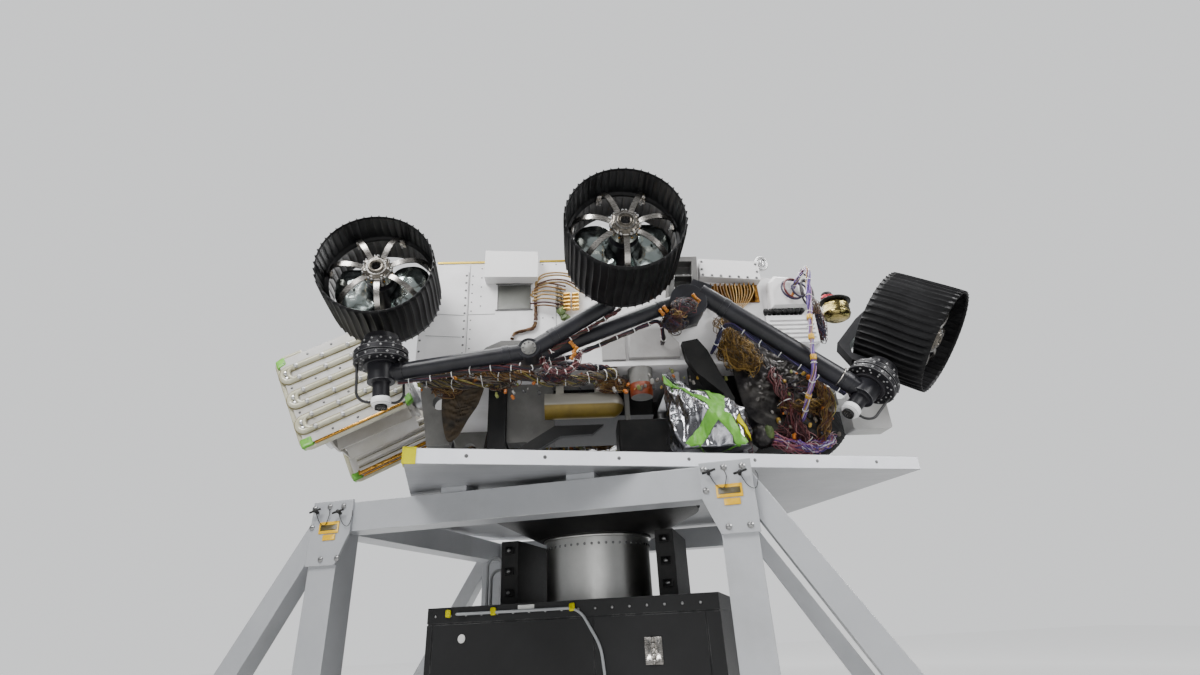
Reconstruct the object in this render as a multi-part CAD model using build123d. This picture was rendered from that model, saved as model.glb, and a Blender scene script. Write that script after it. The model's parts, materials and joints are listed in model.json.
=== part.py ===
"""Six-wheeled planetary rover, belly up on a mass-properties spin stand.

Units are millimetres, +Z is up and the floor is z = 0.  +X is the rover's front, -Y its left-hand
side as it stands here.  The origin is on the floor at the spin axis, under the cabinet.  The rover's
own pieces are laid out from its station zero, which lies station_x from the spin axis.
"""
import os
from math import atan2, cos, radians, sin

from build123d import *

# Rover layout
station_x = -40.0
half_width = 600.0
belly_z = 2655.0
deck_z = 2030.0
deck_wall = 25.0
under_deck = deck_z - deck_wall
rear_x = -860.0
bay_x = 960.0
front_x = 1235.0

# Wheels: rim, stiffening ring, hub and flexures
wheel_radius = 263.0
wheel_width = 334.0
rim_wall = 8.0
ring_depth = 20.0
ring_width = 36.0
hub_radius = 62.0
hub_length = 70.0
hub_face = -118.0
spoke_count = 7
spoke_width = 24.0
spoke_wall = 7.0
spindle_radius = 20.0
running_gap = 0.05

# Steering: distances down the steering axis from the wheel's centre
knuckle_top = 300.0
drum_start = 346.0
drum_length = 96.0
drum_radius = 88.0
band_radius = 116.0
skirt_radius = 75.0
neck_length = 76.0
neck_radius = 42.0
motor_length = 76.0
motor_radius = 36.0
cap_length = 26.0
sleeve_wall = 16.0
sleeve_half = 38.0
pin_radius = 30.0
pin_length = 26.0
leg_reach = 214.0
leg_wide = 62.0
leg_deep = 40.0
drive_radius = 66.0

# Suspension
pivot_p = Vector(500, -half_width - 190, 2240)
pivot_b = Vector(-267, -half_width - 280, 1973)
pivot_radius = 64.0
rear_pivot_radius = 48.0
bracket_depth = 100.0
front_tube_radius = 46.0
rear_tube_radius = 38.0
arm_thickness = 76.0
collar_rise = 3.0

# Generator
core_radius = 130.0
core_length = 500.0
fin_count = 8
fin_radius = 250.0
fin_wall = 6.0
panel_margin = 30.0
panel_width = core_length + 2 * panel_margin
panel_height = 511.0
panel_wall = 46.0
panel_corner = 30.0
panel_y = 400.0
cap_radius = 150.0
core_centre = Vector(-1279, 0, 2066)
core_pitch = 25.0

# Stand
plate_side = 2255.0
plate_top = 1470.0
plate_wall = 60.0
plate_yaw = 11.5
plate_centre = (133.0, 161.0)
ring_centre = (-94.0, 95.0)
ring_yaw = -16.4
ring_side = 1921.0
ring_top = 1385.0
beam_depth = 125.0
beam_width = 130.0
post_side = 135.0
foot_reach = 780.0
foot_plate_radius = 110.0
foot_plate_wall = 20.0
foot_pcd = 160.0
foot_hole = 9.0
cabinet_long = 1300.0
cabinet_deep = 1200.0
cabinet_height = 940.0
spin_drum_radius = 275.0
spin_drum_top = 1250.0
flange_radius = 560.0

# Half the width of the cabinet's door seams
seam = 3.0

# Cables held along their whole length: radius and the gap to what they lie on
loom_radius = 10.0
side_loom_radius = 9.0
pigtail_radius = 6.0
pipe_radius = 9.0
pipe_reach = 36.0
frame_pipe_radius = 14.0
loom_bend = 42.0
loom_gap = collar_rise + 2.3

# Raised forms on the body's sides
panel_rise = 34.0
hump_rise = 40.0
rear_box_rise = 72.0
front_box_rise = 60.0
lug_rise = 70.0

# Wrapped mast head: its wide foot, and the neck that leans back from it
bag_centre = (549.0, -half_width - 100)
bag_radius = 200.0
bag_low = 1540.0
bag_shoulder = 1765.0
bag_top = 1925.0

seat = 0.3

wheel_table = (
    # name, centre, steering axis (None where the wheel doesn't steer), steer angle at rest
    ("front", Vector(1618, -half_width - 168, 2087), Vector(-0.711, -0.113, -0.694).normalized(), -64.0),
    ("middle", Vector(165, -half_width - 600, 2370), None, 0.0),
    ("rear", Vector(-965, -half_width - 315, 2350), Vector(0.107, 0.0, -0.994).normalized(), -6.0),
)


def box(x0, x1, y0, y1, z0, z1):
    """Block between two corners."""
    return Pos((x0 + x1) / 2, (y0 + y1) / 2, (z0 + z1) / 2) * Box(x1 - x0, y1 - y0, z1 - z0)


def rod(start, end, radius):
    """Round bar from one point to another."""
    start, end = Vector(start), Vector(end)
    return Solid.make_cylinder(radius, (end - start).length, Plane(start, z_dir=end - start))


def taper(start, end, radius_start, radius_end):
    """Cone frustum from one point to another."""
    start, end = Vector(start), Vector(end)
    return Solid.make_cone(radius_start, radius_end, (end - start).length, Plane(start, z_dir=end - start))


def prism_y(outline, y0, y1):
    """Outline of (x, z) points, extruded from y0 to y1."""
    face = Face(Wire.make_polygon([Vector(x, y0, z) for x, z in outline], close=True))
    return Solid.extrude(face, Vector(0, y1 - y0, 0))


def prism_z(outline, z0, z1):
    """Outline of (x, y) points, extruded from z0 to z1."""
    face = Face(Wire.make_polygon([Vector(x, y, z0) for x, y in outline], close=True))
    return Solid.extrude(face, Vector(0, 0, z1 - z0))


def bundle(points, radius, bend):
    """Round cable or pipe: straight runs between points, joined by arcs of one radius or a list of them."""
    path = FilletPolyline(*points, radius=bend)
    return sweep(Plane(path @ 0, z_dir=path % 0) * Circle(radius), path=path).solids()[0]


def beside(start, end, share, offset, angle):
    """Point beside a tube's axis: share of its length, offset, and angle from underneath."""
    start, end = Vector(start), Vector(end)
    along = (end - start).normalized()
    down = (Vector(0, 0, -1) + along * along.Z).normalized()
    side = down.cross(along)
    return start + (end - start) * share + (down * cos(radians(angle)) + side * sin(radians(angle))) * offset


def fuse(first, *others):
    """One solid from pieces that overlap."""
    return first.fuse(*others) if others else first


def across(piece):
    """The same piece on the other side of the rover."""
    return mirror(piece, about=Plane.XZ)


def pair(piece):
    """A piece and its mirror image, in one compound."""
    return Compound(children=[*solids_of(piece), *solids_of(across(piece))])


def solids_of(piece):
    return list(piece.solids())


def save(name, piece, offset=0.0):
    """Write one node; offset moves the rover's pieces to their station."""
    parts = [s.moved(Location((offset, 0, 0))) for s in solids_of(piece)]
    export_step(parts[0] if len(parts) == 1 else Compound(children=parts), f"parts/{name}.step")


def save_rover(name, piece):
    save(name, piece, station_x)


# Wheels


def axle_axis(steer_axis, steer_angle):
    """Inboard direction of the axle: square to the steering axis, turned from straight ahead."""
    if steer_axis is None:
        return Vector(0, 1, 0)
    straight = (Vector(0, 1, 0) - steer_axis * steer_axis.Y).normalized()
    side = steer_axis.cross(straight)
    return straight * cos(radians(steer_angle)) + side * sin(radians(steer_angle))


def wheel_plane(centre, steer_axis, steer_angle):
    """Wheel frame: local Z runs inboard along the axle, local X down the steering axis."""
    z_dir = axle_axis(steer_axis, steer_angle)
    x_dir = steer_axis if steer_axis is not None else Vector(0, 0, -1)
    return Plane(centre, x_dir=x_dir, z_dir=z_dir)


def rim():
    """Thin drum with a stiffening ring inside its middle."""
    inner = wheel_radius - rim_wall
    half = wheel_width / 2
    outline = [(wheel_radius, -half), (wheel_radius, half), (inner, half), (inner, ring_width / 2),
               (inner - ring_depth, ring_width / 2), (inner - ring_depth, -ring_width / 2),
               (inner, -ring_width / 2), (inner, -half)]
    face = Face(Wire.make_polygon([Vector(r, 0, z) for r, z in outline], close=True))
    return Solid.revolve(face, 360, Axis.Z)


def spokes():
    """Hub with its curved flexures: each is a strap bowed outboard between the hub and the ring."""
    ring_inner = wheel_radius - rim_wall - ring_depth
    hub = Cylinder(hub_radius, hub_length, align=(Align.CENTER, Align.CENTER, Align.MIN))
    nose = Cylinder(hub_radius * 0.72, 16, align=(Align.CENTER, Align.CENTER, Align.MAX))
    hub = chamfer(hub.edges().filter_by(GeomType.CIRCLE), 4)
    hub = Pos(0, 0, hub_face) * (hub + nose)
    for i in range(spoke_count):
        boss = Pos(hub_radius - 12, 0, hub_face - 5) * Cylinder(6, 10)
        hub = hub + Rot(0, 0, 360 / spoke_count * (i + 0.5)) * boss
    start = Vector(hub_radius - 6, 0, hub_face + 12)
    end = Vector(ring_inner - seat, 0, 0)
    # The arc meets the ring along the axle's direction, so its centre lies level with the arc's end
    centre_x = (end.X ** 2 - start.X ** 2 - start.Z ** 2) / (2 * (end.X - start.X))
    reach = end.X - centre_x
    half_turn = atan2(start.Z, start.X - centre_x) / 2
    middle = Vector(centre_x + reach * cos(half_turn), 0, reach * sin(half_turn))
    path = ThreePointArc(start, middle, end)
    section_plane = Plane(start, z_dir=path % 0, x_dir=Vector(0, 1, 0))
    strap = sweep(section_plane * Rectangle(spoke_width, spoke_wall), path=path)
    pad_x = ring_inner - seat - 5
    pad = box(pad_x - 5, pad_x + 5, -spoke_width * 0.6, spoke_width * 0.6, -13, 13)
    strap = (strap + pad) & (Cylinder(ring_inner - seat, 400) - Cylinder(hub_radius - 10, 400))
    piece = hub
    for i in range(spoke_count):
        piece = piece + Rot(0, 0, 360 / spoke_count * i) * strap
    bore = Cylinder(spindle_radius + running_gap, 3 * hub_length)
    return piece - Pos(0, 0, hub_face) * bore


def knuckle():
    """Steering flange, the leg round the wheel's inner edge, drive housing and spindle."""
    flange = fuse(rod((knuckle_top, 0, 0), (drum_start - 15, 0, 0), drum_radius - 14),
                  rod((drum_start - 16, 0, 0), (drum_start - 1, 0, 0), drum_radius))
    shaft = rod((knuckle_top, 0, 0), (drum_start + pin_length - 1, 0, 0), pin_radius)
    outer_x = knuckle_top + leg_deep
    outline = [(knuckle_top, -40), (outer_x, -40), (outer_x, 130), (outer_x - 66, leg_reach + 26),
               (70, leg_reach + 34), (-50, leg_reach + 22), (-66, leg_reach - 10), (-40, leg_reach - 24),
               (60, leg_reach - 22), (250, leg_reach - 26), (knuckle_top, 150)]
    face = Face(Wire.make_polygon([Vector(x, -leg_wide / 2, z) for x, z in outline], close=True))
    leg = Solid.extrude(face, Vector(0, leg_wide, 0))
    drive = rod((0, 0, -20), (0, 0, leg_reach + 10), drive_radius)
    gearbox = rod((0, 0, hub_face + hub_length + 4), (0, 0, -20), 46)
    spindle = rod((0, 0, hub_face + 6), (0, 0, -20), spindle_radius)
    return fuse(flange, shaft, leg, drive, gearbox, spindle)


def steering_drum():
    """Static drum, neck, motor and its white end cap on the arm's end."""
    drum_end = drum_start + drum_length
    neck_end = drum_end + neck_length
    motor_end = neck_end + motor_length
    # (distance down the axis, radius): ring, wide band with its groove, skirt, neck, motor and cap
    profile = [(drum_start, 0), (drum_start, drum_radius), (drum_start + 22, drum_radius),
               (drum_start + 26, band_radius - 3), (drum_start + 29, band_radius),
               (drum_start + 52, band_radius), (drum_start + 54, band_radius - 5),
               (drum_start + 60, band_radius - 5), (drum_start + 62, band_radius),
               (drum_start + 80, band_radius), (drum_start + 84, band_radius - 4),
               (drum_start + 84, skirt_radius), (drum_end - 2, skirt_radius), (drum_end, skirt_radius - 2),
               (drum_end, neck_radius), (neck_end, neck_radius),
               (neck_end + 4, motor_radius), (motor_end, motor_radius), (motor_end, motor_radius + 4),
               (motor_end + cap_length, motor_radius + 4), (motor_end + cap_length, 0)]
    face = Face(Wire.make_polygon([Vector(x, r, 0) for x, r in profile], close=True))
    socket = rod((drum_start - 1, 0, 0), (drum_start + pin_length, 0, 0), pin_radius + running_gap)
    return Solid.revolve(face, 360, Axis.X).cut(socket)


def pigtail(angle):
    """Cable loop from the motor's cap back to the drum, in the plane at this angle about the axis."""
    cap_x = drum_start + drum_length + neck_length + motor_length + cap_length / 2
    rise = band_radius - 16
    points = [(cap_x, motor_radius + 4 + seat), (cap_x, rise), (drum_start + 84 + seat, rise)]
    a = radians(angle)
    return bundle([Vector(x, r * cos(a), r * sin(a)) for x, r in points], pigtail_radius, 52)


def build_wheels():
    for name, centre, steer_axis, steer_angle in wheel_table:
        plane = wheel_plane(centre, steer_axis, steer_angle)
        pieces = {"wheel_rim": rim(), "wheel_spokes": spokes()}
        if steer_axis is not None:
            pieces["knuckle"] = knuckle()
        for label, piece in pieces.items():
            placed = plane.location * piece
            save_rover(f"port_{name}_{label}", placed)
            save_rover(f"starboard_{name}_{label}", across(placed))


# Suspension


def housing_point(index, distance):
    """Point on a steered wheel's steering axis, at a distance from the wheel's centre."""
    _, centre, steer_axis, _ = wheel_table[index]
    return centre + steer_axis * distance


def arm_level():
    """Distance down the steering axis at which an arm meets the neck."""
    return drum_start + drum_length + neck_length / 2


def steering_room(index):
    """Room that an arm leaves for the drum and its neck."""
    neck = rod(housing_point(index, drum_start), housing_point(index, arm_level() + 200), neck_radius + seat)
    drum = rod(housing_point(index, drum_start - 1), housing_point(index, drum_start + drum_length + seat),
               band_radius + seat)
    return fuse(neck, drum)


def sleeve(index):
    """Clamp with which an arm holds the neck."""
    top = housing_point(index, drum_start + drum_length + seat)
    return rod(top, housing_point(index, arm_level() + sleeve_half), neck_radius + sleeve_wall)


def build_suspension():
    drums = []
    for index in (0, 2):
        _, centre, steer_axis, steer_angle = wheel_table[index]
        drums.append(wheel_plane(centre, steer_axis, steer_angle).location * steering_drum())
    save_rover("steering_drums", Compound(children=[s for d in drums for s in solids_of(pair(d))]))
    loops = []
    for index, angles in ((0, (190,)), (2, (-15, 145))):
        _, centre, steer_axis, steer_angle = wheel_table[index]
        location = wheel_plane(centre, steer_axis, 0.0).location
        loops += [s for angle in angles for s in solids_of(pair(location * pigtail(angle)))]
    save_rover("steering_pigtails", Compound(children=loops))

    front_end = housing_point(0, arm_level())
    front_neck, rear_neck = steering_room(0), steering_room(2)
    p_left, p_right = pivot_p + Vector(0, -arm_thickness, 0), pivot_p + Vector(0, 20, 0)
    hub = rod(p_left, p_right, pivot_radius + 26)
    front_root = pivot_p + Vector(70, -34, 62)
    tube = rod(front_root, front_end, front_tube_radius)
    rear_root = pivot_p + Vector(-30, -34, 20)
    fork_end = pivot_b + Vector(0, rear_tube_radius + 18, 0)
    rear = rod(rear_root, fork_end, rear_tube_radius)
    eye = rod(pivot_b + Vector(0, 14, 0), pivot_b + Vector(0, 92, 0), rear_pivot_radius)
    web = prism_y([(pivot_p.X - 60, pivot_p.Z - 40), (pivot_p.X + 90, pivot_p.Z - 30),
                   (pivot_p.X + 130, pivot_p.Z + 90), (pivot_p.X + 40, pivot_p.Z + 130)],
                  pivot_p.Y - 60, pivot_p.Y - 8)
    pin = rod(pivot_b + Vector(0, -48, 0), pivot_b + Vector(0, 20, 0), 24)
    collars = [collar(front_root, front_end, share, front_tube_radius) for share in (0.16, 0.9)]
    collars += [collar(rear_root, fork_end, share, rear_tube_radius) for share in (0.14, 0.86)]
    rocker = fuse(hub, tube, rear, eye, web, pin, sleeve(0), *collars).cut(front_neck)
    save_rover("port_rocker", rocker)
    save_rover("starboard_rocker", across(rocker))

    rear_end = housing_point(2, arm_level())
    barrel = rod(pivot_b + Vector(0, -60, 0), pivot_b + Vector(0, 13.5, 0), rear_pivot_radius)
    rear_arm = rod(pivot_b + Vector(0, -24, 0), rear_end, rear_tube_radius)
    middle = wheel_table[1][1]
    elbow = Vector(100, pivot_b.Y - 24, 2200)
    leg_top = middle + Vector(0, leg_reach + 6, 0)
    front_arm = rod(pivot_b + Vector(0, -24, 0), elbow, rear_tube_radius)
    joint = Pos(elbow) * Sphere(rear_tube_radius + 4)
    upright = rod(elbow, leg_top, rear_tube_radius)
    drive = rod(middle + Vector(0, -20, 0), leg_top + Vector(0, 16, 0), drive_radius)
    gearbox = rod(middle + Vector(0, hub_face + hub_length + 4, 0), middle, 46)
    spindle = rod(middle + Vector(0, hub_face + 6, 0), middle, spindle_radius)
    pin_hole = rod(pivot_b + Vector(0, -48 - seat, 0), pivot_b + Vector(0, 20, 0), 24 + seat)
    pivot_side = pivot_b + Vector(0, -24, 0)
    collars = [collar(pivot_side, rear_end, share, rear_tube_radius) for share in (0.16, 0.88)]
    collars += [collar(pivot_side, elbow, 0.3, rear_tube_radius)]
    bogie = fuse(barrel, rear_arm, front_arm, *solids_of(joint), upright, drive, gearbox, spindle, sleeve(2),
                 *collars)
    bogie = bogie.cut(rear_neck).cut(pin_hole)
    save_rover("port_bogie", bogie)
    save_rover("starboard_bogie", across(bogie))

    face_y = -half_width - bracket_depth
    bracket = prism_y([(430, 2190), (590, 2230), (612, 2600), (470, 2600), (440, 2420)], face_y, -half_width)
    pocket = prism_y([(470, 2330), (560, 2330), (582, 2570), (492, 2570), (474, 2430)], face_y - 1, face_y + 60)
    ribs = [box(440, 600, face_y + 6, face_y + 70, z, z + 10).solids()[0] & pocket for z in (2400, 2480)]
    axle = rod(pivot_p + Vector(0, 20 + seat, 0), pivot_p + Vector(0, 100, 0), pivot_radius)
    bracket = fuse(bracket.cut(pocket), axle, *[s for r in ribs for s in solids_of(r)])
    save_rover("pivot_brackets", pair(bracket))
    build_looms(front_root, front_end, rear_root, fork_end, pivot_side, rear_end, elbow, leg_top)

    bar = box(415, 475, 40 - half_width, half_width - 40, 1930, 1990)
    boss = rod((445, 0, 1900), (445, 0, under_deck), 70)
    save_rover("differential_bar", fuse(bar.solids()[0], boss))


def collar(start, end, share, tube_radius):
    """Raised band round a tube, at a share of its length."""
    start, end = Vector(start), Vector(end)
    middle, along = start + (end - start) * share, (end - start).normalized()
    return rod(middle - along * 16, middle + along * 16, tube_radius + collar_rise)


def build_looms(front_root, front_end, rear_root, fork_end, pivot_side, rear_end, elbow, leg_top):
    """Cables lashed under the arms, from the body's side to the steering and drive housings."""
    wall_y = -half_width - seat
    front_off = front_tube_radius + loom_gap + loom_radius
    rear_off = rear_tube_radius + loom_gap + loom_radius
    front_neck, rear_neck = steering_room(0), steering_room(2)
    drive_skin = rod(wheel_table[1][1], leg_top + Vector(0, 20, 0), drive_radius + seat)
    lead = [(640, wall_y, 2062), (640, wall_y - 134.7, 2062), beside(front_root, front_end, 0.2, front_off, 0),
            beside(front_root, front_end, 1.0, front_off, 0)]
    back = [beside(pivot_side, rear_end, 1.0, rear_off, 0), beside(pivot_side, rear_end, 0.25, rear_off, 0),
            pivot_b + Vector(0, -26, -rear_pivot_radius - loom_radius - 28),
            beside(fork_end, rear_root, 0.24, rear_off + 14, 0), beside(fork_end, rear_root, 0.82, rear_off, 0),
            (388, wall_y - 111.7, 2112), (388, wall_y - panel_rise, 2112)]
    rise = [beside(pivot_side, elbow, 0.0, rear_off, 0),
            beside(pivot_side, elbow, 1.0, rear_off, 0) + Vector(26, 0, 16),
            beside(elbow, leg_top, 0.7, rear_off, 0) + Vector(70, 0, 40), leg_top + Vector(54, 0, 12)]
    barrel = rod(pivot_b + Vector(0, -80, 0), pivot_b + Vector(0, 40, 0), rear_pivot_radius + seat)
    looms = [bundle(lead, loom_radius, loom_bend).cut(front_neck),
             bundle(back, loom_radius, loom_bend).cut(rear_neck),
             bundle(rise, loom_radius, loom_bend).cut(barrel, drive_skin)]
    save_rover("arm_looms", Compound(children=[s for loom in looms for s in solids_of(pair(loom))]))

    # Looms on the body's side: one drops behind the rear pivot, one hangs outboard of the front tube
    side_y = -half_width - side_loom_radius - seat
    side = [(-256, side_y, 2440), (-256, side_y, 2310), (-262, side_y, 2235), (-365, side_y, 2215),
            (-380, side_y, 2170)]
    out_y, in_y = -half_width - 285, 40 - half_width
    drop = [(1120, wall_y - hump_rise, 2420), (1120, out_y, 2420), (1062, out_y - 10, 2100),
            (1040, out_y + 5, 1850), (1040, in_y, 1640), (1040, in_y, under_deck - seat)]
    looms = [bundle(side, side_loom_radius, 30), bundle(drop, loom_radius, 60)]
    save_rover("side_looms", Compound(children=[s for loom in looms for s in solids_of(pair(loom))]))


# Body


def build_body():
    outline = [(rear_x, deck_z), (rear_x, belly_z - 60), (rear_x + 60, belly_z), (300, belly_z),
               (bay_x, 2600), (bay_x, deck_z)]
    body = prism_y(outline, -half_width, half_width)
    recess = box(-460, -283, -half_width - 1, -half_width + 24, 2355, 2507)
    body = body.cut(*solids_of(recess), *solids_of(across(recess)))
    save_rover("chassis_body", body)

    pan = prism_y([(-790, belly_z), (300, belly_z), (940, 2601.7), (941, 2613.7), (300, belly_z + 12),
                   (-790, belly_z + 12)], 40 - half_width, half_width - 40)
    # Stiffening ribs round three shallow panels on the flat part of the pan
    rib_y = half_width - 80
    ribs = [box(x, x + 18, -rib_y, rib_y, belly_z + 11, belly_z + 20).solids()[0]
            for x in (-760, -420, -80, 262)]
    ribs += [box(-760, 280, y, y + 18, belly_z + 11, belly_z + 20).solids()[0]
             for y in (-rib_y, -9, rib_y - 18)]
    save_rover("belly_pan", fuse(pan, *ribs))

    deck = box(rear_x - 20, front_x - 50, -half_width - 20, half_width + 20, under_deck, deck_z)
    deck = fillet(deck.edges().filter_by(Axis.Z), 40)
    save_rover("deck_panel", deck)

    bay = prism_y([(bay_x, deck_z), (1160, deck_z), (front_x, 2110), (front_x, 2460), (1200, 2505),
                   (bay_x + 30, 2530), (bay_x, 2570)], -half_width + 20, half_width - 20)
    save_rover("front_bay", bay)

    strip = box(rear_x + 2, -617, -half_width - 6, -half_width, deck_z + 2, belly_z - 62)
    save_rover("corner_doublers", pair(strip))

    rear_box = prism_y([(-523, 2515), (-244, 2509), (-244, 2668), (-523, 2680)], -half_width - rear_box_rise,
                       -half_width)
    front_box = prism_y([(630, 2500), (955, 2470), (955, 2585), (630, 2610)], -half_width - front_box_rise,
                        -half_width)
    hump = prism_y([(996, 2312), (1196, 2312), (1160, 2470), (1120, 2500), (1040, 2508), (1006, 2470)],
                   -half_width - hump_rise, -half_width + 20)
    hump = chamfer(hump.faces().sort_by(Axis.Y)[0].edges(), 14)
    trapezoid = prism_y([(250, 2318), (405, 2318), (428, 2180), (478, 2120), (478, 2045), (215, 2045)],
                        -half_width - panel_rise, -half_width)
    low_panel = box(80, 200, -half_width - 26, -half_width, 2040, 2250).solids()[0]
    boxes = Compound(children=[rear_box, front_box, hump.solids()[0], trapezoid, low_panel])
    save_rover("side_boxes", pair(boxes))

    # Cast lug behind the rear pivot, with lightening pockets
    lug = prism_y([(-560, 2036), (-500, 2106), (-425, 2140), (-150, 2140), (-124, 2100), (-124, 2036)],
                  -half_width - lug_rise, -half_width)
    pockets = [prism_y(pocket, -half_width - lug_rise - 1, -half_width - 16)
               for pocket in ([(-500, 2052), (-470, 2092), (-380, 2092), (-380, 2052)],
                              [(-350, 2052), (-350, 2118), (-240, 2118), (-240, 2052)])]
    save_rover("side_lugs", pair(lug.cut(*pockets)))

    comb = box(671, 947, -half_width - 8, -half_width, 2362, 2468).solids()[0]
    fins = [box(680 + 26 * i, 686 + 26 * i, -half_width - 44, -half_width - 7, 2366, 2462).solids()[0]
            for i in range(10)]
    save_rover("finned_couplers", pair(fuse(comb, *fins)))

    grille = box(bay_x + 2, front_x - 8, -half_width - 12, -half_width + 20, 2115, 2275)
    slot = Rot(-30, 0, 0) * Box(front_x - bay_x - 40, 30, 9)
    slots = [Pos((bay_x + front_x) / 2, -half_width - 8, z) * slot for z in (2140, 2165, 2190, 2215, 2240)]
    grille = grille.cut(*[s for slot in slots for s in solids_of(slot)])
    save_rover("front_louvres", pair(grille))


def build_generator():
    pitch = Plane(core_centre, x_dir=Vector(cos(radians(core_pitch)), 0, sin(radians(core_pitch))),
                  z_dir=Vector(0, -1, 0))
    # In this frame X runs along the core, Y up square to it and Z to the left-hand side
    half = core_length / 2
    core = rod((-half, 0, 0), (half, 0, 0), core_radius)
    fins = []
    for i in range(fin_count):
        fin = box(-half + 40, half - 40, core_radius - 10, fin_radius, -fin_wall / 2, fin_wall / 2)
        fins.append((Rot(360 / fin_count * (i + 0.5), 0, 0) * fin).solids()[0])
    discs = [rod((x, 0, 0), (x + 12, 0, 0), 190) for x in (-half + 10, half - 22)]
    save_rover("generator_core", pitch.location * fuse(core, *fins, *discs))

    bars = []
    for x in (-half - 14, half + 14):
        for y in (-cap_radius + 40, cap_radius - 40):
            for z in (-1, 1):
                bars.append(rod((x, y, z * (cap_radius - 46)), (x, y, z * (panel_y - panel_wall)), 12))
    panel = box(-panel_width / 2, panel_width / 2, -panel_height / 2, panel_height / 2,
                panel_y - panel_wall, panel_y)
    panel = fillet(panel.edges().filter_by(Axis.Z), panel_corner)
    for i in range(5):
        y = panel_height * (i - 2) / 6
        rib = box(-panel_width / 2 + 40, panel_width / 2 - 40, y - 6, y + 6, panel_y - panel_wall - 12,
                  panel_y - panel_wall + 1)
        panel = panel + rib
    panel = pitch.location * panel
    save_rover("port_heat_exchanger", panel)
    save_rover("starboard_heat_exchanger", across(panel))
    pipes = []
    pipe_z = panel_y + pipe_radius + seat
    for middle in (-150, 0, 150):
        x0, x1 = panel_width / 2 - 30, -panel_width / 2 + 34
        low, high = middle - pipe_reach, middle + pipe_reach
        loop = [(x0, low, pipe_z), (x1, low, pipe_z), (x1, high, pipe_z), (x0, high, pipe_z)]
        pipes.append(bundle(loop, pipe_radius, pipe_reach - 0.1))
    edge = frame_pipe_radius + seat
    x_rear, y_low, y_high = -panel_width / 2 - edge, -panel_height / 2 - edge, panel_height / 2 + edge
    z = panel_y - panel_wall / 2
    frame_pipe = bundle([(panel_width / 2 - 40, y_low, z), (x_rear, y_low, z), (x_rear, y_high, z),
                         (-panel_width / 2 + 120, y_high, z)], frame_pipe_radius, panel_corner + edge)
    pipes = [pitch.location * p for p in (*pipes, frame_pipe)]
    save_rover("exchanger_pipes", Compound(children=[s for p in pipes for s in solids_of(pair(p))]))
    rear_cap = rod((-half - 28, 0, 0), (-half, 0, 0), cap_radius)
    front_cap = rod((half, 0, 0), (half + 40, 0, 0), cap_radius)
    bars = [b.cut(rear_cap, front_cap) for b in bars]
    save_rover("exchanger_bars", pitch.location * Compound(children=[s for b in bars for s in solids_of(b)]))
    mount_plate = box(rear_x - 20, rear_x, -260, 260, 2080, 2420).solids()[0]
    struts = []
    ring_point = pitch.location * Location((half + 30, 0, 0))
    for y, z in ((-220, 2120), (220, 2120), (-220, 2380), (220, 2380)):
        struts.append(rod(ring_point.position + Vector(0, y * 0.5, 0), (rear_x - 17, y, z), 18))
    adapter = fuse((pitch.location * front_cap).solids()[0], mount_plate, *struts)
    save_rover("generator_mount", Compound(children=[adapter, (pitch.location * rear_cap).solids()[0]]))


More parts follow.
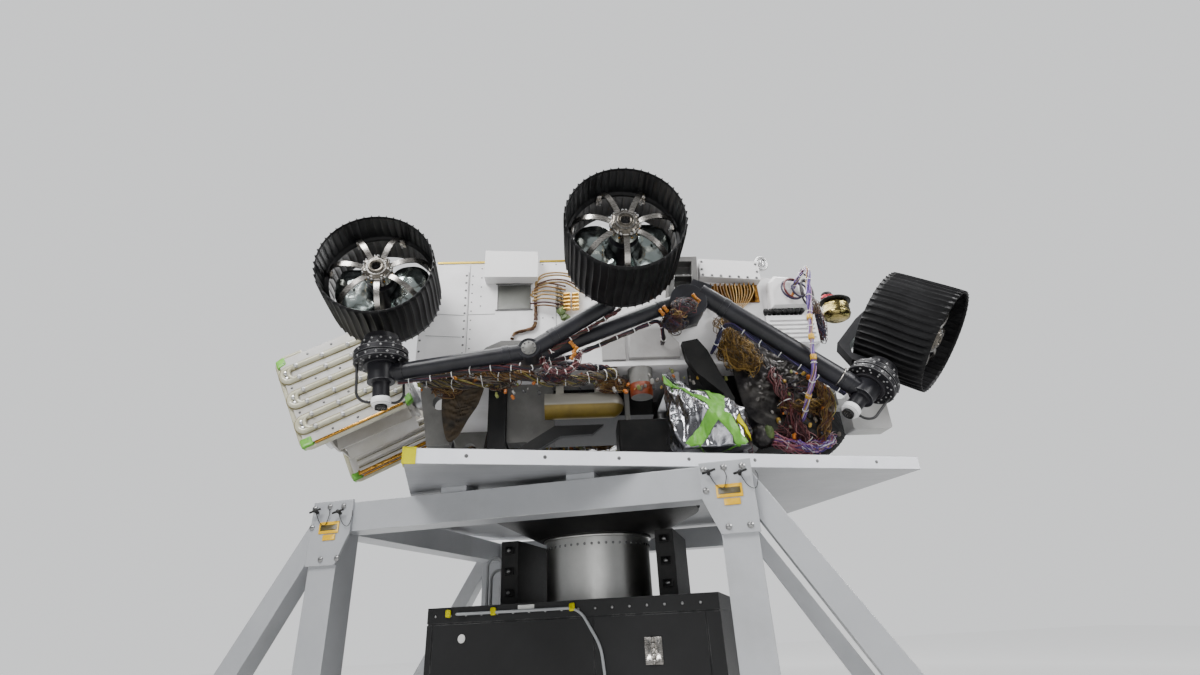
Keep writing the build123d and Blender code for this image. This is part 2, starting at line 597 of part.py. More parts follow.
def build_deck_gear():
    """Equipment on the deck, between it and the plate, and the posts that carry the rover."""
    # Sideways places are counted inboard from the body's left side
    side_y = -half_width
    posts = []
    post_y = half_width - 200
    for x, y in ((-465, -post_y), (-465, post_y), (760, -post_y), (760, post_y)):
        posts.append(box(x - 45, x + 45, y - 45, y + 45, plate_top, under_deck).solids()[0])
    save_rover("deck_posts", Compound(children=posts))

    # Dark equipment: three packs under the deck, a box and a bent guard that stand on the plate
    core_y = half_width - 300
    packs = [box(-420, 365, -core_y, core_y, 1850, under_deck),
             box(525, 1080, -core_y, core_y, 1850, under_deck),
             box(870, 1250, side_y + 150, side_y + 290, 1610, under_deck)]
    packs = [fillet(p.edges().filter_by(Axis.Z), 12).solids()[0] for p in packs]
    low_box = box(150, 415, side_y + 100, side_y + 300, plate_top, 1762)
    low_box = fillet(low_box.edges().filter_by(Axis.Z), 14).solids()[0]
    guard = prism_y([(-350, plate_top), (-350, 1640), (-170, 1748), (80, 1748), (20, 1700), (-140, 1695),
                     (-290, 1610), (-290, plate_top)], side_y + 120, side_y + 160)
    save_rover("deck_boxes", Compound(children=[*packs, low_box, guard]))

    # Round canister slung along the deck, its end dome, and a ball-shaped sensor on a stalk
    canister_y = side_y + 120
    canister = rod((-217, canister_y, 1850), (120, canister_y, 1850), 66)
    dome = Pos(120, canister_y, 1850) * Sphere(66)
    saddles = [box(x, x + 40, canister_y - 30, canister_y + 30, 1900, under_deck).solids()[0]
               for x in (-160, 40)]
    ball = Pos(850, side_y + 60, 1672) * Sphere(54)
    stalk = rod((850, side_y + 60, 1700), (850, side_y + 60, under_deck), 16)
    save_rover("deck_canisters", Compound(children=[fuse(canister, *solids_of(dome), *saddles),
                                                    fuse(ball.solids()[0], stalk)]))

    # Pale fittings: the two rear feet with their holes, a flat box, a cup and a short column
    foot = prism_y([(-862, under_deck), (-640, under_deck), (-672, 1800), (-690, 1667), (-800, 1667),
                    (-822, 1800)], side_y + 114, side_y + 176)
    foot = foot.cut(rod((-746, side_y + 110, 1890), (-746, side_y + 180, 1890), 40))
    flat_box = box(-418, -175, side_y + 195, side_y + 299, 1690, under_deck)
    flat_box = fillet(flat_box.edges().filter_by(Axis.Y), 10).solids()[0]
    cup = taper((274, side_y + 40, 1856), (274, side_y + 40, under_deck), 54, 64)
    column = box(190, 214, side_y + 100, side_y + 140, 1762, under_deck).solids()[0]
    save_rover("deck_fittings", Compound(children=[*solids_of(pair(foot)), flat_box, cup, column]))

    x, y = bag_centre

    def wrap(spare):
        return fuse(rod((x, y, bag_low), (x, y, bag_shoulder + spare), bag_radius + spare),
                    taper((x - 30, y, bag_shoulder - 1), (x - 94, y, bag_top + spare), bag_radius - 40 + spare,
                          84 + spare))

    save_rover("mast_bag", wrap(0))
    neck = box(520, 600, side_y - 20, side_y + 55, bag_shoulder, under_deck).solids()[0]
    wedge = prism_y([(486, 2110), (566, 2125), (610, 2060), (712, 1800), (690, 1716), (640, 1730), (560, 1905),
                     (500, 2020)], side_y - 68, side_y - 20 - seat)
    children = [s for piece in (neck, wedge) for s in solids_of(piece.cut(wrap(seat)))]
    save_rover("mast_tube", Compound(children=children))
    lower = box(1100, 1180, -core_y, core_y, 1800, under_deck).solids()[0]
    pale = box(1330, 1530, side_y + 60, side_y + 170, 1660, 1850)
    pale = fillet(pale.edges().filter_by(Axis.Y), 16).solids()[0]
    arm = prism_y([(1110, under_deck), (1175, under_deck), (1200, 1830), (1331, 1830), (1331, 1780),
                   (1150, 1780)], side_y + 80, side_y + 140)
    save_rover("front_instrument_box", Compound(children=[lower, fuse(pale, arm)]))


# Stand


def placed_z(centre, yaw):
    return Location((centre[0], centre[1], 0), (0, 0, yaw))


def build_stand():
    half = plate_side / 2
    chamfer = 620.0
    outline = [(-half, -half), (half, -half), (half, half - chamfer), (half - chamfer, half),
               (-half + chamfer, half), (-half, half - chamfer)]
    plate = placed_z(plate_centre, plate_yaw) * prism_z(outline, plate_top - plate_wall, plate_top)
    save("support_plate", plate)

    ring = placed_z(ring_centre, ring_yaw)
    h = ring_side / 2
    corners = ((-1, -1), (1, -1), (1, 1), (-1, 1))
    posts, beams, braces, gussets, feet, pads = [], [], [], [], [], []
    inner = h - post_side
    for sx, sy in corners:
        x0, x1 = sorted((sx * h, sx * inner))
        y0, y1 = sorted((sy * h, sy * inner))
        posts.append(box(x0, x1, y0, y1, foot_plate_wall, ring_top))
        cx, cy = (x0 + x1) / 2, (y0 + y1) / 2
        feet.append(foot_plate(cx, cy))
        foot_x = sx * (h + foot_reach)
        feet.append(foot_plate(foot_x, cy))
        brace_outline = [(sx * h, ring_top - 20), (sx * h, ring_top - 190),
                         (foot_x - sx * 75, foot_plate_wall), (foot_x + sx * 60, foot_plate_wall)]
        braces.append(prism_y(brace_outline, cy - 50, cy + 50))
        gusset_outline = [(sx * (h + 10), ring_top + 12), (sx * (h - 190), ring_top + 12),
                          (sx * (h - 190), ring_top - 130), (sx * (h - post_side), ring_top - 260),
                          (sx * (h + 10), ring_top - 260)]
        face_y = sy * h
        gussets.append(prism_y(gusset_outline, min(face_y, face_y + sy * 12), max(face_y, face_y + sy * 12)))
    for sy in (-1, 1):
        y0, y1 = sorted((sy * h, sy * (h - beam_width)))
        beams.append(box(-inner, inner, y0, y1, ring_top - beam_depth, ring_top))
        x0, x1 = sorted((sy * h, sy * (h - beam_width)))
        beams.append(box(x0, x1, -inner, inner, ring_top - beam_depth, ring_top))
    for x, y in ((-290, -h + 65), (280, -h + 65), (-290, h - 65), (280, h - 65)):
        pads.append(box(x - 60, x + 60, y - 60, y + 60, ring_top, plate_top - plate_wall))
    for name, pieces in (("stand_posts", posts), ("stand_beams", beams), ("stand_braces", braces),
                         ("corner_gussets", gussets), ("foot_plates", feet), ("plate_pads", pads)):
        save(name, Compound(children=[s for p in pieces for s in solids_of(ring * p)]))

    table = placed_z((0, 0), ring_yaw)
    half_long, half_deep = cabinet_long / 2, cabinet_deep / 2
    cabinet = box(-half_long, half_long, -half_deep, half_deep, 0, cabinet_height)
    # Door seams and the groove under the lid, all round
    seams = [box(x - seam, x + seam, -half_deep - 1, -half_deep + seam, 60, cabinet_height - 70)
             for x in (-half_long + 30, 120, half_long - 60)]
    seams += [box(x - seam, x + seam, half_deep - seam, half_deep + 1, 60, cabinet_height - 70)
              for x in (-200, 200)]
    lid = box(-half_long - 1, half_long + 1, -half_deep - 1, half_deep + 1, cabinet_height - 70,
              cabinet_height - 64)
    lid = lid - box(-half_long + seam, half_long - seam, -half_deep + seam, half_deep - seam,
                    cabinet_height - 71, cabinet_height - 63)
    cabinet = cabinet.cut(*[s for piece in (*seams, lid) for s in solids_of(piece)])
    save("spin_cabinet", table * cabinet)

    # A cable lies along the cabinet's upper edge and drops to its foot; two loops stand beside the drum
    front_y = -half_deep - pigtail_radius - seat
    face_y, hang_y, edge_z = -half_deep - seat, -half_deep - 28, cabinet_height - 30
    cable = [(-500, face_y, edge_z), (-500, hang_y, edge_z), (-440, front_y, edge_z), (60, front_y, edge_z),
             (150, front_y, 760), (190, front_y, 400), (176, hang_y, 160), (176, hang_y, 110),
             (176, face_y, 110)]
    cables = [bundle(cable, pigtail_radius, [12, 30, 90, 200, 120, 30, 14])]
    for y, top in ((-170, 1180), (-120, 1120)):
        x = -470
        cables.append(bundle([(x, y, cabinet_height + seat), (x, y, top), (x - 90, y, top),
                              (x - 90, y, cabinet_height + seat)], 8, 44))
    save("stand_cables", Compound(children=[s for c in cables for s in solids_of(table * c)]))
    drum = rod((0, 0, cabinet_height), (0, 0, spin_drum_top), spin_drum_radius)
    save("spin_drum", drum)
    flange = taper((0, 0, spin_drum_top), (0, 0, plate_top - plate_wall - 40), spin_drum_radius + 40,
                   flange_radius)
    rim_disc = rod((0, 0, plate_top - plate_wall - 40), (0, 0, plate_top - plate_wall), flange_radius)
    save("spin_flange", fuse(flange, rim_disc))
    side_posts = [box(x - 45, x + 45, -260, 260, cabinet_height, 1245) for x in (-400, 400)]
    save("drum_posts", Compound(children=[s for p in side_posts for s in solids_of(table * p)]))


def foot_plate(x, y):
    """Round foot plate with its ring of anchor holes."""
    disc = rod((x, y, 0), (x, y, foot_plate_wall), foot_plate_radius)
    r = foot_pcd / 2
    holes = [rod((x + r * cos(radians(a)), y + r * sin(radians(a)), -1),
                 (x + r * cos(radians(a)), y + r * sin(radians(a)), foot_plate_wall + 1), foot_hole)
             for a in (45, 135, 225, 315)]
    return disc.cut(*holes)


os.makedirs("parts", exist_ok=True)
build_wheels()
build_suspension()
build_body()
build_generator()
build_deck_gear()
build_stand()
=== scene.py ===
import json
import math

import bmesh
import bpy
import numpy as np
from mathutils import Matrix, Vector


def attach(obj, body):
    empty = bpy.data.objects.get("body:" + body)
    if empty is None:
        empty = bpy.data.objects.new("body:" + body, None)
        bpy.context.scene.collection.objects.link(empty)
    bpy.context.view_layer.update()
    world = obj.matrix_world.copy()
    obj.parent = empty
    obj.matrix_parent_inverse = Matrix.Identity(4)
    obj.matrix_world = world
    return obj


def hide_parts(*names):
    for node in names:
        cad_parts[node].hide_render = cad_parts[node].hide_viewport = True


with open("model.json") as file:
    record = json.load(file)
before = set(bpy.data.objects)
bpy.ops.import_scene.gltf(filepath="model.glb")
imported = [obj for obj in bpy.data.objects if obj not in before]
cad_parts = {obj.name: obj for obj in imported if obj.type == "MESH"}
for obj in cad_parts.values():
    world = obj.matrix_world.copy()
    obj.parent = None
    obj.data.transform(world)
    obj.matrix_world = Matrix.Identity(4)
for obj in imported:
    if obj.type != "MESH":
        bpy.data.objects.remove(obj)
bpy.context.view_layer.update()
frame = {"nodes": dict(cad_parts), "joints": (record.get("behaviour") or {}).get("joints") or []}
nodes = frame["nodes"]
joints = {j["name"]: j for j in frame["joints"]}
pi = math.pi
goldenAngle = 2.399963  # spreads wires evenly over a round bundle

# the photograph's camera, in the frame's metres and degrees
view = dict(place=(-0.125, -3.342, 0.86), turn=-3.34, rise=25.63, roll=-2.93, lens=17.613, sensor=36.0)


def cameraAxes():
    # forward from turn and rise, then right and up rolled about it
    turn, rise, roll = np.radians([view["turn"], view["rise"], view["roll"]])
    forward = np.array([-np.sin(turn) * np.cos(rise), np.cos(turn) * np.cos(rise), np.sin(rise)])
    level = np.array([np.cos(turn), np.sin(turn), 0.0])
    upright = np.cross(level, forward)
    right = np.cos(roll) * level + np.sin(roll) * upright
    up = -np.sin(roll) * level + np.cos(roll) * upright
    return right, up, forward


def addCamera():
    # the camera's axes and its place, as the columns of one matrix
    right, up, forward = cameraAxes()
    data = bpy.data.cameras.new("photoCamera")
    data.sensor_width = view["sensor"]
    data.lens = view["lens"]
    data.clip_end = 60
    obj = bpy.data.objects.new("photoCamera", data)
    rows = [[right[i], up[i], -forward[i], view["place"][i]] for i in range(3)]
    obj.matrix_world = Matrix(rows + [[0, 0, 0, 1]])
    bpy.context.scene.collection.objects.link(obj)
    bpy.context.scene.camera = obj


addCamera()
print("camera set")


# mesh helpers: every new piece is an array of points and an array of faces
def turns(count):
    # evenly spaced angles round a full turn
    return np.linspace(0, 2 * pi, count, endpoint=False)


def circle(radius, angles, height=0.0):
    # points round Z at the angles, all at one height
    return np.stack([radius * np.cos(angles), radius * np.sin(angles), np.full(len(angles), height)], -1)


def ballPoints(rows, cols, gap):
    # unit directions over longitude and latitude, with a gap left at both poles
    u, v = np.meshgrid(turns(rows), np.linspace(gap, pi - gap, cols), indexing="ij")
    return np.stack([np.cos(u) * np.sin(v), np.sin(u) * np.sin(v), np.cos(v)], -1)


def gridFaces(rows, cols, closeRows=False, closeCols=False, flip=False):
    # quads between neighbours of a rows x cols grid; a closed direction joins its last line to its first
    r = np.arange(rows if closeRows else rows - 1)
    c = np.arange(cols if closeCols else cols - 1)
    rr, cc = np.meshgrid(r, c, indexing="ij")
    r2, c2 = (rr + 1) % rows, (cc + 1) % cols
    quad = np.stack([rr * cols + cc, rr * cols + c2, r2 * cols + c2, r2 * cols + cc], -1).reshape(-1, 4)
    return quad[:, ::-1] if flip else quad


def joined(parts):
    # stacks (points, faces) pairs into one, with each pair's face numbers moved past the points before it
    verts, faces, start = [], [], 0
    for v, f in parts:
        verts.append(v.reshape(-1, 3))
        faces.append(np.asarray(f) + start)
        start += verts[-1].shape[0]
    width = max(f.shape[1] for f in faces)
    same = all(f.shape[1] == width for f in faces)
    faces = np.concatenate(faces) if same else [line for f in faces for line in f.tolist()]
    return np.concatenate(verts), faces


def makePiece(name, part, material, body="root", smooth=True, tint=None, outward=False):
    # puts a (points, faces) pair, or a list of such pairs, into a mesh that rides on a body
    verts, faces = joined(part) if isinstance(part, list) else part
    verts = np.asarray(verts, float).reshape(-1, 3)
    mesh = bpy.data.meshes.new(name)
    mesh.from_pydata(verts.tolist(), [], faces.tolist() if hasattr(faces, "tolist") else faces)
    if outward:
        outwards(mesh)
    mesh.shade_smooth() if smooth else mesh.shade_flat()
    if tint is not None:
        layer = mesh.attributes.new("tint", "FLOAT_COLOR", "POINT")
        rgba = np.concatenate([np.asarray(tint, float), np.ones((len(tint), 1))], 1)
        layer.data.foreach_set("color", rgba.astype(np.float32).ravel())
    mesh.update()
    obj = bpy.data.objects.new(name, mesh)
    bpy.context.scene.collection.objects.link(obj)
    mesh.materials.append(material)
    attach(obj, body)
    return obj


def outwards(mesh):
    # recalculates the normals so that closed shells face out
    bm = bmesh.new()
    bm.from_mesh(mesh)
    bmesh.ops.recalc_face_normals(bm, faces=bm.faces)
    bm.to_mesh(mesh)
    bm.free()


def splinePath(points, count):
    # Catmull-Rom curve through the points, at evenly spread parameters
    p = np.asarray(points, float)
    p = np.concatenate([2 * p[:1] - p[1:2], p, 2 * p[-1:] - p[-2:-1]])
    t = np.linspace(0, len(points) - 1 - 1e-9, count)
    i = t.astype(int)
    u = (t - i)[:, None]
    a, b, c, d = p[i], p[i + 1], p[i + 2], p[i + 3]
    second, third = 2 * a - 5 * b + 4 * c - d, 3 * b - a - 3 * c + d
    return 0.5 * (2 * b + (c - a) * u + second * u ** 2 + third * u ** 3)


def pathFrames(path):
    # tangent by differences; one side vector is squared off from the direction that the path uses least
    tangent = np.gradient(path, axis=0)
    tangent /= np.linalg.norm(tangent, axis=1, keepdims=True) + 1e-12
    least = np.argmin(np.abs(tangent).max(axis=0))
    side = np.eye(3)[least] - tangent * tangent[:, least:least + 1]
    side /= np.linalg.norm(side, axis=1, keepdims=True) + 1e-12
    return tangent, side, np.cross(tangent, side)


def tubeAlong(path, radius, sides=8, closed=False):
    # a circle carried along the path, which closes on itself or has both ends drawn in to a point
    path = np.asarray(path, float)
    radius = np.broadcast_to(np.asarray(radius, float), (len(path),))[:, None, None]
    _, side, up = pathFrames(path)
    a = turns(sides)[None, :, None]
    ring = path[:, None] + radius * (side[:, None] * np.cos(a) + up[:, None] * np.sin(a))
    if closed:
        return ring.reshape(-1, 3), gridFaces(len(path), sides, True, True, flip=True)
    cap0 = np.repeat(path[:1, None], sides, 1)
    cap1 = np.repeat(path[-1:, None], sides, 1)
    faces = gridFaces(len(path) + 2, sides, False, True, flip=True)
    return np.concatenate([cap0, ring, cap1]).reshape(-1, 3), faces


def strands(path, count, spread, thick, wind, seed, wander=0.35, sides=3):
    # many wires round one path: each keeps its own offset, which winds round and wanders by slow waves, and
    # has few sides, because the normals round it off
    rng = np.random.default_rng(seed)
    n = len(path)
    _, side, up = pathFrames(path)
    s = np.linspace(0, 1, n)[None]
    k = np.arange(count)[:, None]
    swell = 1 + wander * np.sin(2 * pi * (s * rng.uniform(1, 5, (count, 1)) + rng.random((count, 1))))
    drift = wander * np.sin(2 * pi * (s * rng.uniform(1, 4, (count, 1)) + rng.random((count, 1))))
    ring = spread * np.sqrt((k + 0.5) / count) * swell
    phase = k * goldenAngle + 2 * pi * wind * s + drift
    line = path[None] + (ring * np.cos(phase))[..., None] * side + (ring * np.sin(phase))[..., None] * up
    a = turns(sides)[None, :, None]
    tube = line[:, :, None] + thick * (np.cos(a) * side[:, None] + np.sin(a) * up[:, None])
    tube[:, 0] = line[:, 0, None]
    tube[:, -1] = line[:, -1, None]
    base = gridFaces(n, sides, False, True, flip=True)
    faces = (base[None] + (np.arange(count) * n * sides)[:, None, None]).reshape(-1, 4)
    return tube.reshape(-1, 3), faces, n * sides


def wireTint(count, each, colours, seed):
    # one colour of the list for each wire, with a little lightness of its own
    rng = np.random.default_rng(seed)
    pick = np.asarray(colours)[rng.integers(0, len(colours), count)] * rng.uniform(0.8, 1.15, (count, 1))
    return np.repeat(pick.clip(0, 1), each, 0)


def turned(profile, sides, origin, axis, start=(0, 0, 1)):
    # a profile of (radius, height) turned about an axis through the origin
    origin, axis = np.asarray(origin, float), np.asarray(axis, float)
    axis = axis / np.linalg.norm(axis)
    ref = np.asarray(start, float)
    ref = np.array([1.0, 0, 0]) if abs(ref @ axis) > 0.95 * np.linalg.norm(ref) else ref
    side = ref - axis * (ref @ axis)
    side /= np.linalg.norm(side)
    up = np.cross(axis, side)
    profile = np.asarray(profile, float)
    a = turns(sides)[:, None, None]
    points = origin + profile[None, :, 1:] * axis + profile[None, :, :1] * (side * np.cos(a) + up * np.sin(a))
    return points.reshape(-1, 3), gridFaces(sides, len(profile), True, False, flip=True)


def turnedRing(profile, sides, origin, axis, start=(0, 0, 1)):
    # a closed profile turned about an axis, which leaves a hole in the middle
    points, _ = turned(profile, sides, origin, axis, start)
    return points, gridFaces(sides, len(profile), True, True, flip=True)


def stampAll(points, faces, places, normals, scale=1.0):
    # one small shape, made about the origin along +Z, copied to every place and turned to its normal
    places, normals = np.asarray(places, float), np.asarray(normals, float)
    normals = np.broadcast_to(normals, places.shape)
    n = normals / np.linalg.norm(normals, axis=1, keepdims=True)
    ref = np.where(np.abs(n[:, 2:3]) > 0.9, np.array([[1.0, 0, 0]]), np.array([[0, 0, 1.0]]))
    s = ref - n * np.sum(ref * n, 1, keepdims=True)
    s /= np.linalg.norm(s, axis=1, keepdims=True)
    u = np.cross(n, s)
    size = np.broadcast_to(np.asarray(scale, float), (len(places),))[:, None, None]
    q = points[None] * size
    world = places[:, None] + q[..., :1] * s[:, None] + q[..., 1:2] * u[:, None] + q[..., 2:] * n[:, None]
    allFaces = faces[None] + (np.arange(len(places)) * len(points))[:, None, None]
    return world.reshape(-1, 3), allFaces.reshape(-1, faces.shape[1])


def boltShape(radius=1.0, height=0.6, sides=6, washer=1.5):
    # washer, hexagon and its chamfer as one turned profile
    profile = [(0, 0.0), (washer * radius, 0.0), (washer * radius, 0.18 * height), (radius, 0.2 * height),
               (radius, 0.85 * height), (0.8 * radius, height), (0, height)]
    return turned(profile, sides, (0, 0, 0), (0, 0, 1), start=(1, 0, 0))


def domeShape(radius=1.0, height=0.5, sides=8):
    # a rivet's head: a low cap of three rings
    t = np.array([1.0, 0.75, 0.4, 0.0])
    profile = np.stack([radius * t, height * np.sqrt(1 - (0.98 * t) ** 2)], 1)
    return turned(np.concatenate([[[0, 0]], profile]), sides, (0, 0, 0), (0, 0, 1), start=(1, 0, 0))


def slabPoints(centre, xDir, yDir, size, edge=0.003, steps=3):
    # a block with rounded edges: a rectangle with quarter circles at its corners, drawn in along quarter
    # circles at both ends of its height
    xDir, yDir = [np.asarray(v, float) / np.linalg.norm(v) for v in (xDir, yDir)]
    zDir = np.cross(xDir, yDir)
    sx, sy, sz = [v / 2 for v in size]
    edge = min(edge, sx * 0.98, sy * 0.98, sz * 0.98)
    a = np.linspace(0, pi / 2, steps)
    corner = np.stack([np.cos(a), np.sin(a)], 1) * edge
    signs = [(1, 1), (-1, 1), (-1, -1), (1, -1)]
    outline = []
    for i, (ex, ey) in enumerate(signs):
        arc = corner if i % 2 == 0 else corner[::-1]
        outline.append(np.stack([ex * (sx - edge + arc[:, 0]), ey * (sy - edge + arc[:, 1])], 1))
    outline = np.concatenate(outline)
    inner = np.concatenate([np.repeat([[ex * (sx - edge), ey * (sy - edge)]], steps, 0) for ex, ey in signs])
    rows = [np.concatenate([0 * inner, np.full((len(inner), 1), -sz)], 1)]
    for sign, order in ((-1, a), (1, a[::-1])):
        for t in order:
            flat = inner + (outline - inner) * np.sin(t)
            level = np.full((len(flat), 1), sign * (sz - edge * (1 - np.cos(t))))
            rows.append(np.concatenate([flat, level], 1))
    rows.append(np.concatenate([0 * inner, np.full((len(inner), 1), sz)], 1))
    grid = np.stack(rows)
    world = np.asarray(centre, float) + grid[..., :1] * xDir + grid[..., 1:2] * yDir + grid[..., 2:] * zDir
    return world.reshape(-1, 3), gridFaces(*grid.shape[:2], False, True)


def crumple(points, size, depth, seed, octaves=3):
    # creases: sums of folded plane waves, each octave finer and shallower
    rng = np.random.default_rng(seed)
    total = np.zeros(points.shape[:-1])
    for i in range(octaves):
        direction = rng.normal(size=(6, 3))
        direction /= np.linalg.norm(direction, axis=1, keepdims=True)
        wave = points @ direction.T * (2 * pi / (size / 2 ** i)) + rng.uniform(0, 2 * pi, 6)
        wave = wave + 1.3 * np.sin(points @ direction[::-1].T * (pi / size) + i)
        total += (1 - 2 * np.abs(np.sin(wave))).mean(-1) / 1.8 ** i
    return depth * total


print("helpers ready")


# node groups used by several materials
def newGroup(name, inputs, outputs):
    # an empty group with its named sockets, and its two end nodes
    group = bpy.data.node_groups.new(name, "ShaderNodeTree")
    for label, kind, value in inputs:
        item = group.interface.new_socket(label, in_out="INPUT", socket_type=kind)
        if value is not None:
            item.default_value = value
    for label, kind in outputs:
        group.interface.new_socket(label, in_out="OUTPUT", socket_type=kind)
    return group, group.nodes.new("NodeGroupInput"), group.nodes.new("NodeGroupOutput")


def addNode(tree, kind, values=None, **settings):
    # one node, with its own settings and the values of its unlinked inputs
    node = tree.nodes.new(kind)
    for key, value in settings.items():
        setattr(node, key, value)
    for key, value in (values or {}).items():
        node.inputs[key].default_value = value
    return node


def link(tree, source, target):
    # one link from an output to an input
    tree.links.new(source, target)


def linkAll(tree, *rows):
    # links given as (node, output, next node, input)
    for node, output, after, socket in rows:
        tree.links.new(node.outputs[output], after.inputs[socket])


def blotchGroup():
    # noise remapped to a soft mask between a low and a high value
    sockets = [("Vector", "NodeSocketVector", None), ("Scale", "NodeSocketFloat", 6.0),
               ("Low", "NodeSocketFloat", 0.4), ("High", "NodeSocketFloat", 0.65)]
    group, inp, out = newGroup("blotch", sockets, [("Mask", "NodeSocketFloat")])
    noise = addNode(group, "ShaderNodeTexNoise", {"Detail": 8.0, "Roughness": 0.62})
    remap = addNode(group, "ShaderNodeMapRange")
    linkAll(group, (inp, "Vector", noise, "Vector"), (inp, "Scale", noise, "Scale"),
            (noise, "Fac", remap, "Value"), (inp, "Low", remap, "From Min"), (inp, "High", remap, "From Max"),
            (remap, "Result", out, "Mask"))
    return group


def scratchGroup():
    # noise on coordinates that are multiplied by an uneven stretch, which draws it out into thin lines
    sockets = [("Vector", "NodeSocketVector", None), ("Stretch", "NodeSocketVector", (4, 4, 160)),
               ("Amount", "NodeSocketFloat", 0.5)]
    group, inp, out = newGroup("scratches", sockets, [("Mask", "NodeSocketFloat")])
    scale = addNode(group, "ShaderNodeVectorMath", operation="MULTIPLY")
    noise = addNode(group, "ShaderNodeTexNoise", {"Scale": 1.0, "Detail": 3.0, "Roughness": 0.6})
    power = addNode(group, "ShaderNodeMath", operation="MULTIPLY")
    linkAll(group, (inp, "Vector", scale, 0), (inp, "Stretch", scale, 1), (scale, "Vector", noise, "Vector"),
            (noise, "Fac", power, 0), (inp, "Amount", power, 1), (power, 0, out, "Mask"))
    return group


def edgeGroup():
    # a rounded normal, and a mask where it turns away from the face, broken up by noise
    sockets = [("Vector", "NodeSocketVector", None), ("Radius", "NodeSocketFloat", 0.004),
               ("Break", "NodeSocketFloat", 18.0)]
    results = [("Mask", "NodeSocketFloat"), ("Normal", "NodeSocketVector")]
    group, inp, out = newGroup("edgeWear", sockets, results)
    bevel = addNode(group, "ShaderNodeBevel", samples=4)
    geometry = addNode(group, "ShaderNodeNewGeometry")
    dot = addNode(group, "ShaderNodeVectorMath", operation="DOT_PRODUCT")
    edge = addNode(group, "ShaderNodeMapRange", {"From Min": 0.985, "From Max": 0.8})
    noise = addNode(group, "ShaderNodeTexNoise", {"Detail": 6.0})
    gate = addNode(group, "ShaderNodeMapRange", {"From Min": 0.42, "From Max": 0.6})
    mult = addNode(group, "ShaderNodeMath", operation="MULTIPLY")
    linkAll(group, (inp, "Radius", bevel, "Radius"), (bevel, "Normal", dot, 0), (geometry, "Normal", dot, 1),
            (dot, "Value", edge, "Value"), (inp, "Vector", noise, "Vector"), (inp, "Break", noise, "Scale"),
            (noise, "Fac", gate, "Value"), (edge, "Result", mult, 0), (gate, "Result", mult, 1),
            (mult, 0, out, "Mask"), (bevel, "Normal", out, "Normal"))
    return group


blotch = blotchGroup()
scratches = scratchGroup()
edgeWear = edgeGroup()


def useGroup(tree, group, values=None, source=None):
    # a group placed in a material, with its own values and its coordinates
    node = tree.nodes.new("ShaderNodeGroup")
    node.node_tree = group
    for key, value in (values or {}).items():
        node.inputs[key].default_value = value
    if source is not None:
        link(tree, source, node.inputs["Vector"])
    return node


def mixColour(tree, mask, a, b):
    # a where the mask is 0 and b where it is 1; each is a colour or a socket
    mix = addNode(tree, "ShaderNodeMix", data_type="RGBA")
    for socket, value in ((mix.inputs[6], a), (mix.inputs[7], b)):
        if isinstance(value, tuple):
            socket.default_value = (*value, 1.0)
        else:
            link(tree, value, socket)
    link(tree, mask, mix.inputs[0])
    return mix.outputs[2]


def mapValue(tree, source, low, high, fromLow=0.0, fromHigh=1.0):
    # a value carried in a straight line from one range to another, and held at its ends
    values = {"From Min": fromLow, "From Max": fromHigh, "To Min": low, "To Max": high}
    node = addNode(tree, "ShaderNodeMapRange", values)
    link(tree, source, node.inputs["Value"])
    return node.outputs["Result"]


def bumpFrom(tree, height, strength, distance, normal=None):
    # a normal tilted by the slope of the height, on top of another normal where there is one
    node = addNode(tree, "ShaderNodeBump", {"Strength": strength, "Distance": distance})
    link(tree, height, node.inputs["Height"])
    if normal is not None:
        link(tree, normal, node.inputs["Normal"])
    return node.outputs["Normal"]


